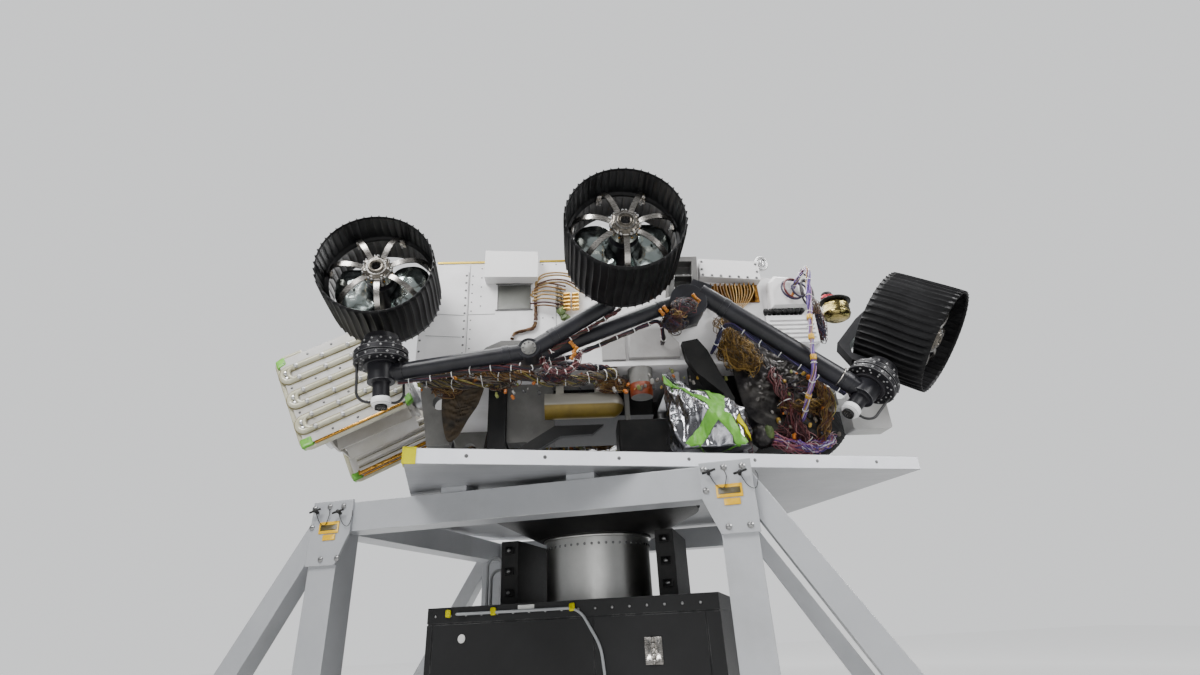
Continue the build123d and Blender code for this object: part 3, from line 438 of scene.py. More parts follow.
def finish(name, base, other, rough=(0.4, 0.55), metal=0.0, grain=500.0, grainDepth=0.0001, blotchScale=5.0,
           blotchRange=(0.42, 0.66), edgeColour=None, edgeRadius=0.003, stretch=None, coat=0.0, tinted=False,
           dirt=None, dirtScale=2.2, specular=0.5):
    # painted or bare metal: two tones by blotches, or each point's own tint darkened by them; grain or brush
    # lines in the bump, worn edges, a film of dust
    mat = bpy.data.materials.new(name)
    mat.use_nodes = True
    tree = mat.node_tree
    bsdf = tree.nodes["Principled BSDF"]
    coords = addNode(tree, "ShaderNodeTexCoord").outputs["Object"]
    patch = useGroup(tree, blotch, {"Scale": blotchScale, "Low": blotchRange[0], "High": blotchRange[1]},
                     coords)
    if tinted:
        tint = addNode(tree, "ShaderNodeAttribute", attribute_name="tint").outputs["Color"]
        dark = addNode(tree, "ShaderNodeMix", data_type="RGBA", blend_type="MULTIPLY")
        link(tree, patch.outputs["Mask"], dark.inputs[0])
        link(tree, tint, dark.inputs[6])
        dark.inputs[7].default_value = (*other, 1.0)
        colour = dark.outputs[2]
    else:
        colour = mixColour(tree, patch.outputs["Mask"], base, other)
    if dirt is not None:
        spots = useGroup(tree, blotch, {"Scale": dirtScale, "Low": 0.52, "High": 0.75}, coords)
        colour = mixColour(tree, mapValue(tree, spots.outputs["Mask"], 0.0, 0.55), colour, dirt)
    if stretch is None:
        noise = addNode(tree, "ShaderNodeTexNoise", {"Scale": grain, "Detail": 3.0})
        link(tree, coords, noise.inputs["Vector"])
        height = noise.outputs["Fac"]
    else:
        height = useGroup(tree, scratches, {"Stretch": stretch, "Amount": 1.0}, coords).outputs["Mask"]
    roughness = mapValue(tree, height, rough[0], rough[1], 0.3, 0.7)
    normal = None
    if edgeColour is not None:
        edge = useGroup(tree, edgeWear, {"Radius": edgeRadius}, coords)
        normal = edge.outputs["Normal"]
        colour = mixColour(tree, edge.outputs["Mask"], colour, edgeColour)
    link(tree, bumpFrom(tree, height, 0.5, grainDepth, normal), bsdf.inputs["Normal"])
    link(tree, colour, bsdf.inputs["Base Color"])
    link(tree, roughness, bsdf.inputs["Roughness"])
    bsdf.inputs["Metallic"].default_value = metal
    bsdf.inputs["Coat Weight"].default_value = coat
    bsdf.inputs["Specular IOR Level"].default_value = specular
    return mat


def foilFinish(name, base, other, scale=26.0, depth=0.006, rough=(0.08, 0.3)):
    # crinkled film: the distance to Voronoi edges and folded noise dent the normal into small flat facets
    mat = bpy.data.materials.new(name)
    mat.use_nodes = True
    tree = mat.node_tree
    bsdf = tree.nodes["Principled BSDF"]
    coords = addNode(tree, "ShaderNodeTexCoord").outputs["Object"]
    noise = addNode(tree, "ShaderNodeTexNoise", {"Scale": scale * 0.4, "Detail": 4.0})
    shifted = addNode(tree, "ShaderNodeVectorMath", operation="MULTIPLY_ADD")
    shifted.inputs[1].default_value = (0.06, 0.06, 0.06)
    cells = addNode(tree, "ShaderNodeTexVoronoi", {"Scale": scale})
    fine = addNode(tree, "ShaderNodeTexVoronoi", {"Scale": scale * 3.1})
    total = addNode(tree, "ShaderNodeMath", {1: 0.35}, operation="MULTIPLY_ADD")
    link(tree, coords, noise.inputs["Vector"])
    link(tree, noise.outputs["Color"], shifted.inputs[0])
    link(tree, coords, shifted.inputs[2])
    linkAll(tree, (shifted, "Vector", cells, "Vector"), (shifted, "Vector", fine, "Vector"),
            (fine, "Distance", total, 0), (cells, "Distance", total, 2))
    patch = useGroup(tree, blotch, {"Scale": 9.0}, coords)
    link(tree, mixColour(tree, patch.outputs["Mask"], base, other), bsdf.inputs["Base Color"])
    link(tree, mapValue(tree, noise.outputs["Fac"], rough[0], rough[1], 0.35, 0.65), bsdf.inputs["Roughness"])
    link(tree, bumpFrom(tree, total.outputs[0], 0.8, depth), bsdf.inputs["Normal"])
    bsdf.inputs["Metallic"].default_value = 1.0
    return mat


# finishes: two base colours each, then what differs from plain paint
blackAnodised = finish(
    "blackAnodised", (0.004, 0.004, 0.0045), (0.010, 0.010, 0.011), rough=(0.34, 0.5),
    blotchScale=9, specular=0.17)
titanium = finish(
    "titanium", (0.3, 0.285, 0.265), (0.46, 0.44, 0.41), rough=(0.2, 0.36), metal=1.0, stretch=(60, 60, 700),
    blotchScale=14)
darkPaint = finish(
    "darkPaint", (0.008, 0.008, 0.010), (0.02, 0.019, 0.022), rough=(0.32, 0.48), grain=400,
    edgeColour=(0.07, 0.068, 0.07), blotchScale=8, specular=0.22, grainDepth=0.0002)
armPaint = finish(
    "armPaint", (0.009, 0.009, 0.0115), (0.018, 0.018, 0.023), rough=(0.3, 0.44), grain=420,
    edgeColour=(0.09, 0.09, 0.1), blotchScale=7, specular=0.32, grainDepth=0.0002)
cableBlack = finish(
    "cableBlack", (0.008, 0.008, 0.009), (0.016, 0.016, 0.017), rough=(0.35, 0.5), grain=600,
    grainDepth=0.0002)
cableGrey = finish(
    "cableGrey", (0.32, 0.33, 0.34), (0.26, 0.27, 0.28), rough=(0.35, 0.5), grain=600, grainDepth=0.0002)
castGrey = finish(
    "castGrey", (0.1, 0.1, 0.097), (0.18, 0.176, 0.17), rough=(0.42, 0.6), metal=0.7, grain=260,
    grainDepth=0.0008, edgeColour=(0.5, 0.49, 0.48), edgeRadius=0.004)
whitePaint = finish(
    "whitePaint", (0.78, 0.77, 0.78), (0.68, 0.67, 0.67), rough=(0.45, 0.62), grain=700, grainDepth=0.00015,
    dirt=(0.5, 0.47, 0.44), edgeColour=(0.45, 0.43, 0.41), blotchScale=3.0)
greyPaint = finish(
    "greyPaint", (0.46, 0.46, 0.46), (0.38, 0.38, 0.37), rough=(0.42, 0.6), grain=600, dirt=(0.3, 0.28, 0.26),
    edgeColour=(0.6, 0.6, 0.6), blotchScale=6.0, grainDepth=0.0002)
creamPaint = finish(
    "creamPaint", (0.52, 0.505, 0.49), (0.42, 0.4, 0.36), rough=(0.28, 0.44), dirt=(0.4, 0.35, 0.2),
    edgeColour=(0.34, 0.29, 0.16), blotchScale=4.0, coat=0.2, grainDepth=0.0002)
creamTube = finish(
    "creamTube", (0.5, 0.48, 0.37), (0.36, 0.34, 0.22), rough=(0.2, 0.34), dirt=(0.4, 0.35, 0.2),
    blotchScale=6.0, coat=0.35)
bareAlloy = finish(
    "bareAlloy", (0.6, 0.6, 0.6), (0.5, 0.5, 0.5), rough=(0.28, 0.45), metal=1.0, stretch=(6, 300, 6),
    edgeColour=(0.8, 0.8, 0.8), edgeRadius=0.002)
plateAlloy = finish(
    "plateAlloy", (0.34, 0.345, 0.36), (0.27, 0.275, 0.29), rough=(0.3, 0.46), metal=0.6, stretch=(2, 220, 2),
    edgeColour=(0.85, 0.85, 0.86), edgeRadius=0.002, blotchScale=1.6)
# painted highlight: the pale colour of the plate's walls stands in for the lamps' reflection on them
plateEdge = finish(
    "plateEdge", (0.84, 0.85, 0.9), (0.74, 0.75, 0.8), rough=(0.3, 0.45), metal=0.1, stretch=(2, 2, 260),
    blotchScale=3)
standPaint = finish(
    "standPaint", (0.44, 0.45, 0.47), (0.37, 0.38, 0.4), rough=(0.34, 0.48), metal=0.35, grain=220,
    grainDepth=0.0003, dirt=(0.27, 0.27, 0.27), edgeColour=(0.66, 0.66, 0.66), edgeRadius=0.005,
    blotchScale=1.4)
cabinetPaint = finish(
    "cabinetPaint", (0.008, 0.008, 0.0085), (0.013, 0.0132, 0.014), rough=(0.45, 0.6), specular=0.3,
    grain=320, grainDepth=0.0006, edgeColour=(0.14, 0.14, 0.14), blotchScale=2)
blackSteel = finish(
    "blackSteel", (0.006, 0.006, 0.0065), (0.016, 0.0155, 0.015), rough=(0.4, 0.58), grain=260,
    grainDepth=0.0003, edgeColour=(0.08, 0.08, 0.08), blotchScale=5, specular=0.35)
spinSteel = finish(
    "spinSteel", (0.72, 0.72, 0.7), (0.6, 0.6, 0.58), rough=(0.34, 0.44), metal=1.0, grain=60,
    grainDepth=0.00004, blotchScale=3)
goldFilm = foilFinish("goldFilm", (0.62, 0.34, 0.07), (0.4, 0.19, 0.03), scale=30, depth=0.003)
combBronze = foilFinish(
    "combBronze", (0.2, 0.1, 0.02), (0.1, 0.045, 0.01), scale=34, depth=0.003, rough=(0.3, 0.5))
silverFoil = foilFinish(
    "silverFoil", (0.42, 0.42, 0.45), (0.24, 0.24, 0.26), scale=6, depth=0.004, rough=(0.14, 0.28))
paleFoil = foilFinish(
    "paleFoil", (0.68, 0.75, 0.73), (0.48, 0.56, 0.54), scale=9, depth=0.004, rough=(0.12, 0.26))
greenTape = finish(
    "greenTape", (0.1, 0.33, 0.02), (0.15, 0.42, 0.045), rough=(0.4, 0.55), grain=180, grainDepth=0.0006,
    blotchScale=20)
yellowTape = finish(
    "yellowTape", (0.5, 0.46, 0.0), (0.6, 0.55, 0.002), rough=(0.45, 0.6), grain=200, grainDepth=0.0003,
    blotchScale=14, specular=0.1)
labelYellow = finish(
    "labelYellow", (0.58, 0.33, 0.0), (0.64, 0.38, 0.004), rough=(0.35, 0.45), grain=200, specular=0.25)
labelDark = finish("labelDark", (0.045, 0.035, 0.006), (0.07, 0.05, 0.008), rough=(0.4, 0.5), grain=200)
wire = finish(
    "wire", (1, 1, 1), (0.72, 0.7, 0.68), rough=(0.35, 0.5), grain=900, tinted=True, blotchScale=30,
    grainDepth=0.0002)
whiteTie = finish(
    "whiteTie", (0.8, 0.8, 0.78), (0.68, 0.68, 0.66), rough=(0.5, 0.65), grain=600, grainDepth=0.0002)
boltSteel = finish("boltSteel", (0.3, 0.3, 0.3), (0.2, 0.2, 0.2), rough=(0.25, 0.4), metal=1.0)
rivetDark = finish("rivetDark", (0.12, 0.12, 0.12), (0.2, 0.2, 0.2), rough=(0.35, 0.5), metal=0.6)
oliveTape = finish(
    "oliveTape", (0.055, 0.09, 0.018), (0.11, 0.16, 0.035), rough=(0.45, 0.6), grain=180, grainDepth=0.0006,
    blotchScale=20)
orangePlug = finish(
    "orangePlug", (0.42, 0.15, 0.006), (0.2, 0.06, 0.004), rough=(0.3, 0.45), blotchScale=26, grain=300,
    grainDepth=0.0002)
print("materials ready")


def splitFinish(mat, axis, low, high, colour):
    # mixes a second colour into a finish where the place in the frame, along one axis, runs from low to high
    tree = mat.node_tree
    bsdf = tree.nodes["Principled BSDF"]
    spot = addNode(tree, "ShaderNodeSeparateXYZ")
    link(tree, addNode(tree, "ShaderNodeTexCoord").outputs["Object"], spot.inputs[0])
    before = bsdf.inputs["Base Color"].links[0].from_socket
    mask = mapValue(tree, spot.outputs[axis], 0.0, 1.0, low, high)
    link(tree, mixColour(tree, mask, before, colour), bsdf.inputs["Base Color"])
    return mat


canFinish = finish(
    "canFinish", (0.2, 0.14, 0.022), (0.13, 0.09, 0.016), rough=(0.34, 0.5), metal=0.3, grain=260,
    grainDepth=0.0004, blotchScale=9)
splitFinish(splitFinish(canFinish, "Z", 1.836, 1.842, (0.36, 0.345, 0.3)), "X", 0.4, 0.41,
            (0.035, 0.03, 0.04))
# the side boxes: grey with dust below 2.2 m, which is partly their own grey and partly painted shade under
# the body, and white above 2.26 m
sideFinish = finish(
    "sideFinish", (0.36, 0.35, 0.345), (0.28, 0.27, 0.265), rough=(0.45, 0.62), grain=700, grainDepth=0.00015,
    dirt=(0.2, 0.18, 0.16), edgeColour=(0.5, 0.48, 0.45), blotchScale=4.0)
splitFinish(sideFinish, "Z", 2.2, 2.26, (0.74, 0.73, 0.73))
fittingGrey = finish(
    "fittingGrey", (0.13, 0.128, 0.12), (0.19, 0.185, 0.175), rough=(0.42, 0.6), grain=600,
    edgeColour=(0.3, 0.3, 0.29), blotchScale=6.0, grainDepth=0.0002)
nodeFinish = (
    # finish, then parts of the names of the nodes that take it; the first that fits counts
    (blackAnodised, "wheel_rim"), (titanium, "wheel_spokes"), (darkPaint, "knuckle steering_drums"),
    (cableBlack, "steering_pigtails looms"), (cableGrey, "stand_cables"), (armPaint, "rocker bogie"),
    (castGrey, "pivot_brackets side_lugs"), (sideFinish, "side_boxes"), (combBronze, "finned_couplers"),
    (whitePaint, "deck_panel chassis_body front_bay corner_doublers front_louvres"),
    (canFinish, "deck_canisters"),
    (bareAlloy, "differential_bar belly_pan exchanger_bars generator_mount"), (creamTube, "exchanger_pipes"),
    (creamPaint, "generator_core heat_exchanger"), (fittingGrey, "deck_fittings"), (silverFoil, "mast_bag"),
    (greyPaint, "front_instrument"), (plateAlloy, "support_plate"), (cabinetPaint, "cabinet"),
    (standPaint, "stand_ corner_gussets foot_plates plate_pads"), (spinSteel, "spin_drum"),
    (blackSteel, "deck_posts deck_boxes mast_tube spin_flange drum_posts"),
)


def dressNodes():
    # each node takes the finish of the first row that fits its name
    for name, obj in nodes.items():
        found = [look for look, keys in nodeFinish if any(key in name for key in keys.split())]
        obj.data.materials.clear()
        obj.data.materials.append(found[0] if found else whitePaint)


dressNodes()
print("nodes dressed")


# wheels
class WheelFrame:
    # local x runs down the steering axis, z inboard along the axle
    def __init__(self, side, place):
        roll = joints[f"{side}_{place}_roll"]
        steer = joints.get(f"{side}_{place}_steering")
        self.centre = np.array(roll["pos_m"])
        self.z = np.array(roll["axis"], float)
        self.x = np.array(steer["axis"], float) if steer else np.array([0, 0, -1.0])
        self.y = np.cross(self.z, self.x)
        self.steerBody = steer["child"] if steer else "root"
        self.wheelBody = roll["child"]
        self.name = f"{side}_{place}"

    def world(self, p):
        # from the wheel's own axes to the frame
        p = np.asarray(p, float)
        return self.centre + p[..., :1] * self.x + p[..., 1:2] * self.y + p[..., 2:] * self.z


wheels = [WheelFrame(side, place) for side in ("port", "starboard") for place in ("front", "middle", "rear")]

tread = dict(
    grousers=48, across=13, pitch=(0.0, 0.41, 0.46, 0.54, 0.59, 0.8), tooth=(0, 0.1, 1, 1, 0.1, 0),
    skin=0.2556, ridge=0.0073, half=0.167, wall=0.0035, crown=0.0012, wave=0.1, ringHalf=0.012,
    ringInner=0.235)


def wheelSkin(w):
    # a closed wall profile in (radius, width) carried round the axle at six uneven stops to each grouser; the
    # two middle stops stand out by the ridge, and the stops shift with the width as half a sine wave, so each
    # grouser bends
    t = tread
    zOut = np.linspace(-t["half"], t["half"], t["across"])
    outer = np.stack([t["skin"] - t["crown"] * (zOut / t["half"]) ** 4 * 2, zOut, np.ones(t["across"])], 1)
    inR, inner, ringHalf = t["skin"] - t["wall"], t["ringInner"], t["ringHalf"]
    lip = [(t["skin"] - 0.004, t["half"], 0.2), (inR - 0.003, 0.985 * t["half"], 0.0)]
    ring = [(inR, 0.9 * t["half"], 0.25), (inR, 0.5 * t["half"], 0.25), (inR, ringHalf + 0.006, 0.25),
            (inR - 0.004, ringHalf, 0), (inner + 0.004, ringHalf * 0.8, 0), (inner, ringHalf * 0.3, 0)]
    mirrored = [(r, -z, share) for r, z, share in (lip + ring)[::-1]]
    profile = np.concatenate([outer, lip, ring, mirrored])
    u = (np.arange(t["grousers"])[:, None] + np.array(t["pitch"])[None]).ravel()
    bump = np.tile(np.array(t["tooth"], float), t["grousers"])
    shift = t["wave"] * np.sin(pi * profile[:, 1] / t["half"])
    angle = 2 * pi * (u[:, None] + shift[None]) / t["grousers"]
    radius = profile[None, :, 0] + t["ridge"] * bump[:, None] * profile[None, :, 2]
    width = np.broadcast_to(profile[None, :, 1], radius.shape)
    local = np.stack([radius * np.cos(angle), radius * np.sin(angle), width], -1)
    return w.world(local).reshape(-1, 3), gridFaces(len(u), len(profile), True, True)


for w in wheels:
    skin = makePiece(f"{w.name}_tread", wheelSkin(w), blackAnodised, w.wheelBody,
                     outward=True)
    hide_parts(f"{w.name}_wheel_rim")
print("wheels done")


# rover coordinates: millimetres from the rover's own station, k = 1 on the port side and -1 on the starboard
station = -40.0
sides = (("port", 1), ("starboard", -1))
upward = (0, 0, 1)


def rv(points, k=1):
    # millimetres to metres, with the station added to x and y mirrored by k
    return (np.asarray(points, float) + np.array([station, 0, 0])) * np.array([1, k, 1]) / 1000


def stamped(name, shape, places, normals, material, body="root"):
    # one small shape at many places, as one piece
    return makePiece(name, stampAll(*shape, places, normals), material, body)


def slab(point, k, size, edge, xDir=(1, 0, 0)):
    # a block with its middle in rover millimetres, its length along xDir and its height upright
    return slabPoints(rv(point, k), xDir, upward, size, edge)


def between(a, b, count):
    # evenly spaced points from a to b
    t = np.linspace(0, 1, count)[:, None]
    return np.asarray(a, float) * (1 - t) + np.asarray(b, float) * t


# hubs, foil round the drives, steering bolts and caps
hubGear = dict(
    face=-0.118, foilAt=(0.03, 0.125, 0.085), foilSize=(0.15, 0.105, 0.075), foilGrid=(76, 40),
    foilDepth=(0.012, 0.158), reach=0.221, lobes=7, swell=0.013, bossSteps=126, studR=0.064, studTurn=0.11,
    screwR=0.040, tagR=0.0635, padR=0.2165, padZ=(-0.008, 0.008),
    # radius, height over the hub's face and share of the lobes' swell, from the bore outwards and back
    boss=((0.021, 0.010, 0), (0.021, -0.020, 0), (0.0235, -0.0225, 0), (0.033, -0.0225, 0),
          (0.036, -0.0205, 0), (0.0365, -0.0160, 0), (0.043, -0.0150, 0), (0.0445, -0.0135, 0.2),
          (0.0455, -0.008, 0.3), (0.052, -0.0065, 0.6), (0.0565, -0.0035, 1.0), (0.058, 0.001, 1.0),
          (0.0575, 0.008, 1.0), (0.05, 0.010, 0.6)))
drum = dict(
    ringAt=0.357, ringR=0.088, bandR=0.116, upperBolts=0.3865, lowerBolts=0.417, underAt=0.4302,
    underR=(0.102, 0.087), flangeAt=0.338, flangeR=0.088, topAt=0.300, topR=0.064, edgeR=0.1155,
    edgesAt=(0.3755, 0.3975, 0.4085, 0.4265), edgeThick=0.0011, sleeveAt=0.517, sleeveR=0.058, capAt=0.594,
    capEnd=0.620, capR=0.040, pinR=(0.0145, 0.006))
capWhite = finish("capWhite", (0.78, 0.78, 0.78), (0.7, 0.7, 0.7), rough=(0.3, 0.45), blotchScale=14)
rimBright = finish("rimBright", (0.2, 0.2, 0.205), (0.12, 0.12, 0.125), rough=(0.28, 0.42), metal=0.9)
bronzeHub = finish(
    "bronzeHub", (0.13, 0.118, 0.1), (0.07, 0.062, 0.052), rough=(0.22, 0.38), metal=1.0,
    edgeColour=(0.42, 0.39, 0.34), edgeRadius=0.0015, blotchScale=30)


def foilBag(w, sign, seed):
    # a squared-off ellipsoid dented by folded waves, with every point drawn in to the radius that the rim
    # leaves free
    g = hubGear
    ball = ballPoints(*g["foilGrid"], 0.02)
    boxy = np.sign(ball) * np.abs(ball) ** 0.75
    fold = crumple(ball * np.array(g["foilSize"]), 0.16, 0.014, seed, 2)
    local = np.array(g["foilAt"]) * (1, sign, 1) + boxy * g["foilSize"] * (1 + 4 * fold[..., None])
    radius = np.linalg.norm(local[..., :2], axis=-1, keepdims=True)
    local[..., :2] *= np.minimum(1, g["reach"] / radius)
    local[..., 2] = np.clip(local[..., 2], *g["foilDepth"])
    return w.world(local).reshape(-1, 3), gridFaces(*g["foilGrid"], True, False)


def lobedBoss(w):
    # a ring whose outer radius swells once for each lobe, lofted from the hub's face through a stepped collar
    # to its bore
    g = hubGear
    a = turns(g["bossSteps"])[:, None]
    swell = np.clip(np.cos(g["lobes"] * (a - pi)) + 0.35, 0, 1.35) / 1.35
    profile = np.array(g["boss"])
    radius = profile[None, :, 0] + g["swell"] * profile[None, :, 2] * swell
    height = np.broadcast_to(g["face"] + profile[None, :, 1], radius.shape)
    local = np.stack([radius * np.cos(a), radius * np.sin(a), height], -1)
    return w.world(local).reshape(-1, 3), gridFaces(g["bossSteps"], len(profile), True, True)


def hubDress(w):
    # the boss with its bore, studs on each lobe, a collar of small screws, gold tags and the bolts of the
    # spokes' pads
    g = hubGear
    z = g["face"]
    origin = w.world(np.zeros(3))
    makePiece(f"{w.name}_hub_boss", lobedBoss(w), bronzeHub, w.wheelBody, outward=True)
    lobe = pi + turns(g["lobes"])
    spread = np.concatenate([lobe - g["studTurn"], lobe + g["studTurn"]])
    studs = w.world(circle(g["studR"], spread, z - 0.002))
    stamped(f"{w.name}_hub_studs", boltShape(0.0042, 0.006), studs, -w.z, boltSteel, w.wheelBody)
    double = turns(2 * g["lobes"])
    screws = w.world(circle(g["screwR"], double, z - 0.0155))
    stamped(f"{w.name}_hub_screws", boltShape(0.0021, 0.0025), screws, -w.z, rivetDark, w.wheelBody)
    tags = w.world(circle(g["tagR"], double, z + 0.03))
    out = w.world(circle(1, double)) - origin
    stamped(f"{w.name}_hub_tags", domeShape(0.006, 0.005, 8), tags, out, goldFilm, w.wheelBody)
    single = turns(g["lobes"])
    pads = np.concatenate([circle(g["padR"], single, dz) for dz in g["padZ"]])
    inward = -(w.world(pads * (1, 1, 0)) - origin)
    stamped(f"{w.name}_pad_bolts", boltShape(0.0042, 0.004), w.world(pads), inward, boltSteel, w.wheelBody)


def steeringDress(w):
    # rings of bolts on the turning flange, the fixed ring, the band and its underside, thin bright edges, and
    # a pale cap with its plug; every ring is a circle of radius r at x down the steering axis
    d = drum
    origin = w.world(np.zeros(3))

    def around(x, r, angles):
        # the circle's points in the world
        return w.world(np.stack([np.full(len(angles), x), r * np.cos(angles), r * np.sin(angles)], -1))

    def outDir(angles):
        # directions from the steering axis
        return around(0, 1, angles) - origin

    a, b = turns(16), turns(14) + 0.06
    rings = [(d["ringAt"], d["ringR"], a), (d["upperBolts"], d["bandR"], b), (d["lowerBolts"], d["bandR"], a)]
    places = np.concatenate([around(*r) for r in rings])
    normals = np.concatenate([outDir(r[2]) for r in rings])
    stamped(f"{w.name}_drum_bolts", boltShape(0.0038, 0.0042), places, normals, boltSteel)
    under = np.concatenate([around(d["underAt"], r, angles) for r, angles in zip(d["underR"], (b, a))])
    stamped(f"{w.name}_under_bolts", boltShape(0.0036, 0.004), under, w.x, boltSteel)
    flange = around(d["flangeAt"], d["flangeR"], b)
    stamped(f"{w.name}_flange_bolts", boltShape(0.0038, 0.0042), flange, outDir(b), boltSteel, w.steerBody)
    top = around(d["topAt"], d["topR"], b)
    stamped(f"{w.name}_flange_screws", boltShape(0.0042, 0.004), top, -w.x, boltSteel, w.steerBody)
    end, at, capR = d["capEnd"], d["capAt"], d["capR"]
    cap = [(0, end + 0.0045), (0.029, end + 0.0045), (capR - 0.0015, end + 0.002),
           (capR + 0.0015, end - 0.004), (capR + 0.0015, at), (capR, at - 0.002), (0, at - 0.002)]
    makePiece(f"{w.name}_motor_cap", turned(cap, 48, origin, w.x, w.z), capWhite, outward=True)
    plug = [(0, end + 0.003), (0.0245, end + 0.003), (0.0245, end + 0.009), (0.0265, end + 0.0095),
            (0.0265, end + 0.0195), (0.0235, end + 0.0205), (0.0225, end + 0.0165), (0, end + 0.016)]
    makePiece(f"{w.name}_motor_plug", turned(plug, 32, origin, w.x, w.z), blackSteel, outward=True)
    c = turns(8)
    pins = np.concatenate([around(end + 0.0163, r, angles) for r, angles in zip(d["pinR"], (c, c[::2]))])
    stamped(f"{w.name}_plug_pins", domeShape(0.0022, 0.0022, 6), pins, w.x, titanium)
    edges = [(x, d["edgeR"]) for x in d["edgesAt"]] + [(d["sleeveAt"], d["sleeveR"])]
    bands = [tubeAlong(around(x, r, turns(60)), d["edgeThick"], 4, closed=True) for x, r in edges]
    makePiece(f"{w.name}_drum_bands", bands, rimBright, outward=True)


for i, w in enumerate(wheels):
    hubDress(w)
    for sign, label in ((-1, "a"), (1, "b")):
        makePiece(f"{w.name}_foil_{label}", foilBag(w, sign, 40 + 2 * i + sign), paleFoil, w.steerBody)
    if w.steerBody != "root":
        steeringDress(w)
print("hubs and steering done")


# wire colours, and the looms that stand in the places of the plain ones
looms = dict(
    brown=(
        (0.15, 0.07, 0.018), (0.22, 0.12, 0.035), (0.09, 0.035, 0.012), (0.3, 0.19, 0.06),
        (0.07, 0.018, 0.014)),
    dark=(
        (0.012, 0.012, 0.015), (0.03, 0.024, 0.03), (0.02, 0.014, 0.045), (0.1, 0.015, 0.018),
        (0.05, 0.03, 0.015)),
    purple=(
        (0.2, 0.09, 0.42), (0.32, 0.2, 0.56), (0.72, 0.68, 0.78), (0.08, 0.04, 0.24), (0.5, 0.3, 0.45),
        (0.62, 0.4, 0.08)),
    red=(
        (0.1, 0.018, 0.02), (0.17, 0.04, 0.045), (0.07, 0.02, 0.03), (0.28, 0.13, 0.13), (0.04, 0.01, 0.012)),
    rose=((0.42, 0.1, 0.13), (0.5, 0.2, 0.25), (0.3, 0.05, 0.08), (0.55, 0.36, 0.42), (0.18, 0.08, 0.3)),
    gold=(
        (0.14, 0.075, 0.009), (0.22, 0.12, 0.018), (0.085, 0.042, 0.007), (0.36, 0.22, 0.045),
        (0.035, 0.02, 0.006)),
    pale=(
        (0.2, 0.17, 0.14), (0.14, 0.09, 0.05), (0.34, 0.28, 0.06), (0.07, 0.06, 0.06), (0.025, 0.02, 0.024),
        (0.17, 0.06, 0.02)),
    blue=((0.009, 0.009, 0.045), (0.02, 0.018, 0.09), (0.006, 0.005, 0.02), (0.08, 0.055, 0.19)),
    bronze=((0.3, 0.16, 0.025), (0.16, 0.075, 0.012), (0.44, 0.26, 0.06)))


def arcPath(points, radius, step=0.006):
    # straight runs whose corners are circular arcs, sampled about every step
    p = np.asarray(points, float)
    out = [p[:1]]
    for i in range(1, len(p) - 1):
        a, b = p[i - 1] - p[i], p[i + 1] - p[i]
        a, b = a / np.linalg.norm(a), b / np.linalg.norm(b)
        turn = math.acos(float(np.clip(-a @ b, -1, 1)))
        axis = (a + b) / np.linalg.norm(a + b)
        centre = p[i] + axis * radius / math.cos(turn / 2)
        t = np.linspace(-turn / 2, turn / 2, max(3, int(turn * radius / step) + 2))[:, None]
        side = (b - a) / np.linalg.norm(b - a)
        out.append(centre - radius * (axis * np.cos(t) - side * np.sin(t)))
    out.append(p[-1:])
    corner = np.concatenate(out)
    gap = np.linalg.norm(np.diff(corner, axis=0), axis=1)
    s = np.concatenate([[0], np.cumsum(gap)])
    even = np.linspace(0, s[-1], max(8, int(s[-1] / step)))
    return np.stack([np.interp(even, s, corner[:, i]) for i in range(3)], 1)


def tieBands(path, every, radius, seed, tail=0.022):
    # a band round the path at each step, and a short tail that leaves it sideways
    rng = np.random.default_rng(seed)
    tangent, side, up = pathFrames(path)
    length = np.linalg.norm(np.diff(path, axis=0), axis=1).sum()
    count = max(1, int(length / every))
    a = turns(14)[:, None]
    parts = []
    for i in (np.linspace(0.04, 0.96, count) * (len(path) - 1)).astype(int):
        ring = path[i] + radius * (side[i] * np.cos(a) + up[i] * np.sin(a))
        parts.append(tubeAlong(ring, 0.0021, 4, closed=True))
        t = rng.uniform(0, 2 * pi)
        out = side[i] * np.cos(t) + up[i] * np.sin(t)
        start = path[i] + out * radius
        end = start + out * tail * rng.uniform(0.5, 1.1) + tangent[i] * rng.uniform(-0.01, 0.01)
        parts.append(tubeAlong(between(start, end, 3), 0.0013, 4))
    return joined(parts)


def beside(start, end, share, offset):
    # a share of the way along an axis, then an offset from it, straight down and square to it
    start, end = np.asarray(start, float), np.asarray(end, float)
    along = (end - start) / np.linalg.norm(end - start)
    down = np.array([0, 0, -1.0]) + along * along[2]
    return start + (end - start) * share + down / np.linalg.norm(down) * offset


def steerPoint(place, distance):
    # a point down the port side's steering axis, in rover millimetres
    j = joints[f"port_{place}_steering"]
    return np.array(j["pos_m"]) * 1000 - np.array([station, 0, 0]) + np.array(j["axis"]) * distance


arm = dict(
    pivotP=(500, -790, 2240), pivotB=(-267, -880, 1973), elbow=(100, -904, 2200), legTop=(165, -980, 2370),
    frontOff=61.3, rearOff=53.3, level=480, wall=-600.3, rise=34, hump=40, endGap=64, elbowGap=66, wires=16,
    thick=0.0026, tieEvery=0.09, step=0.013)


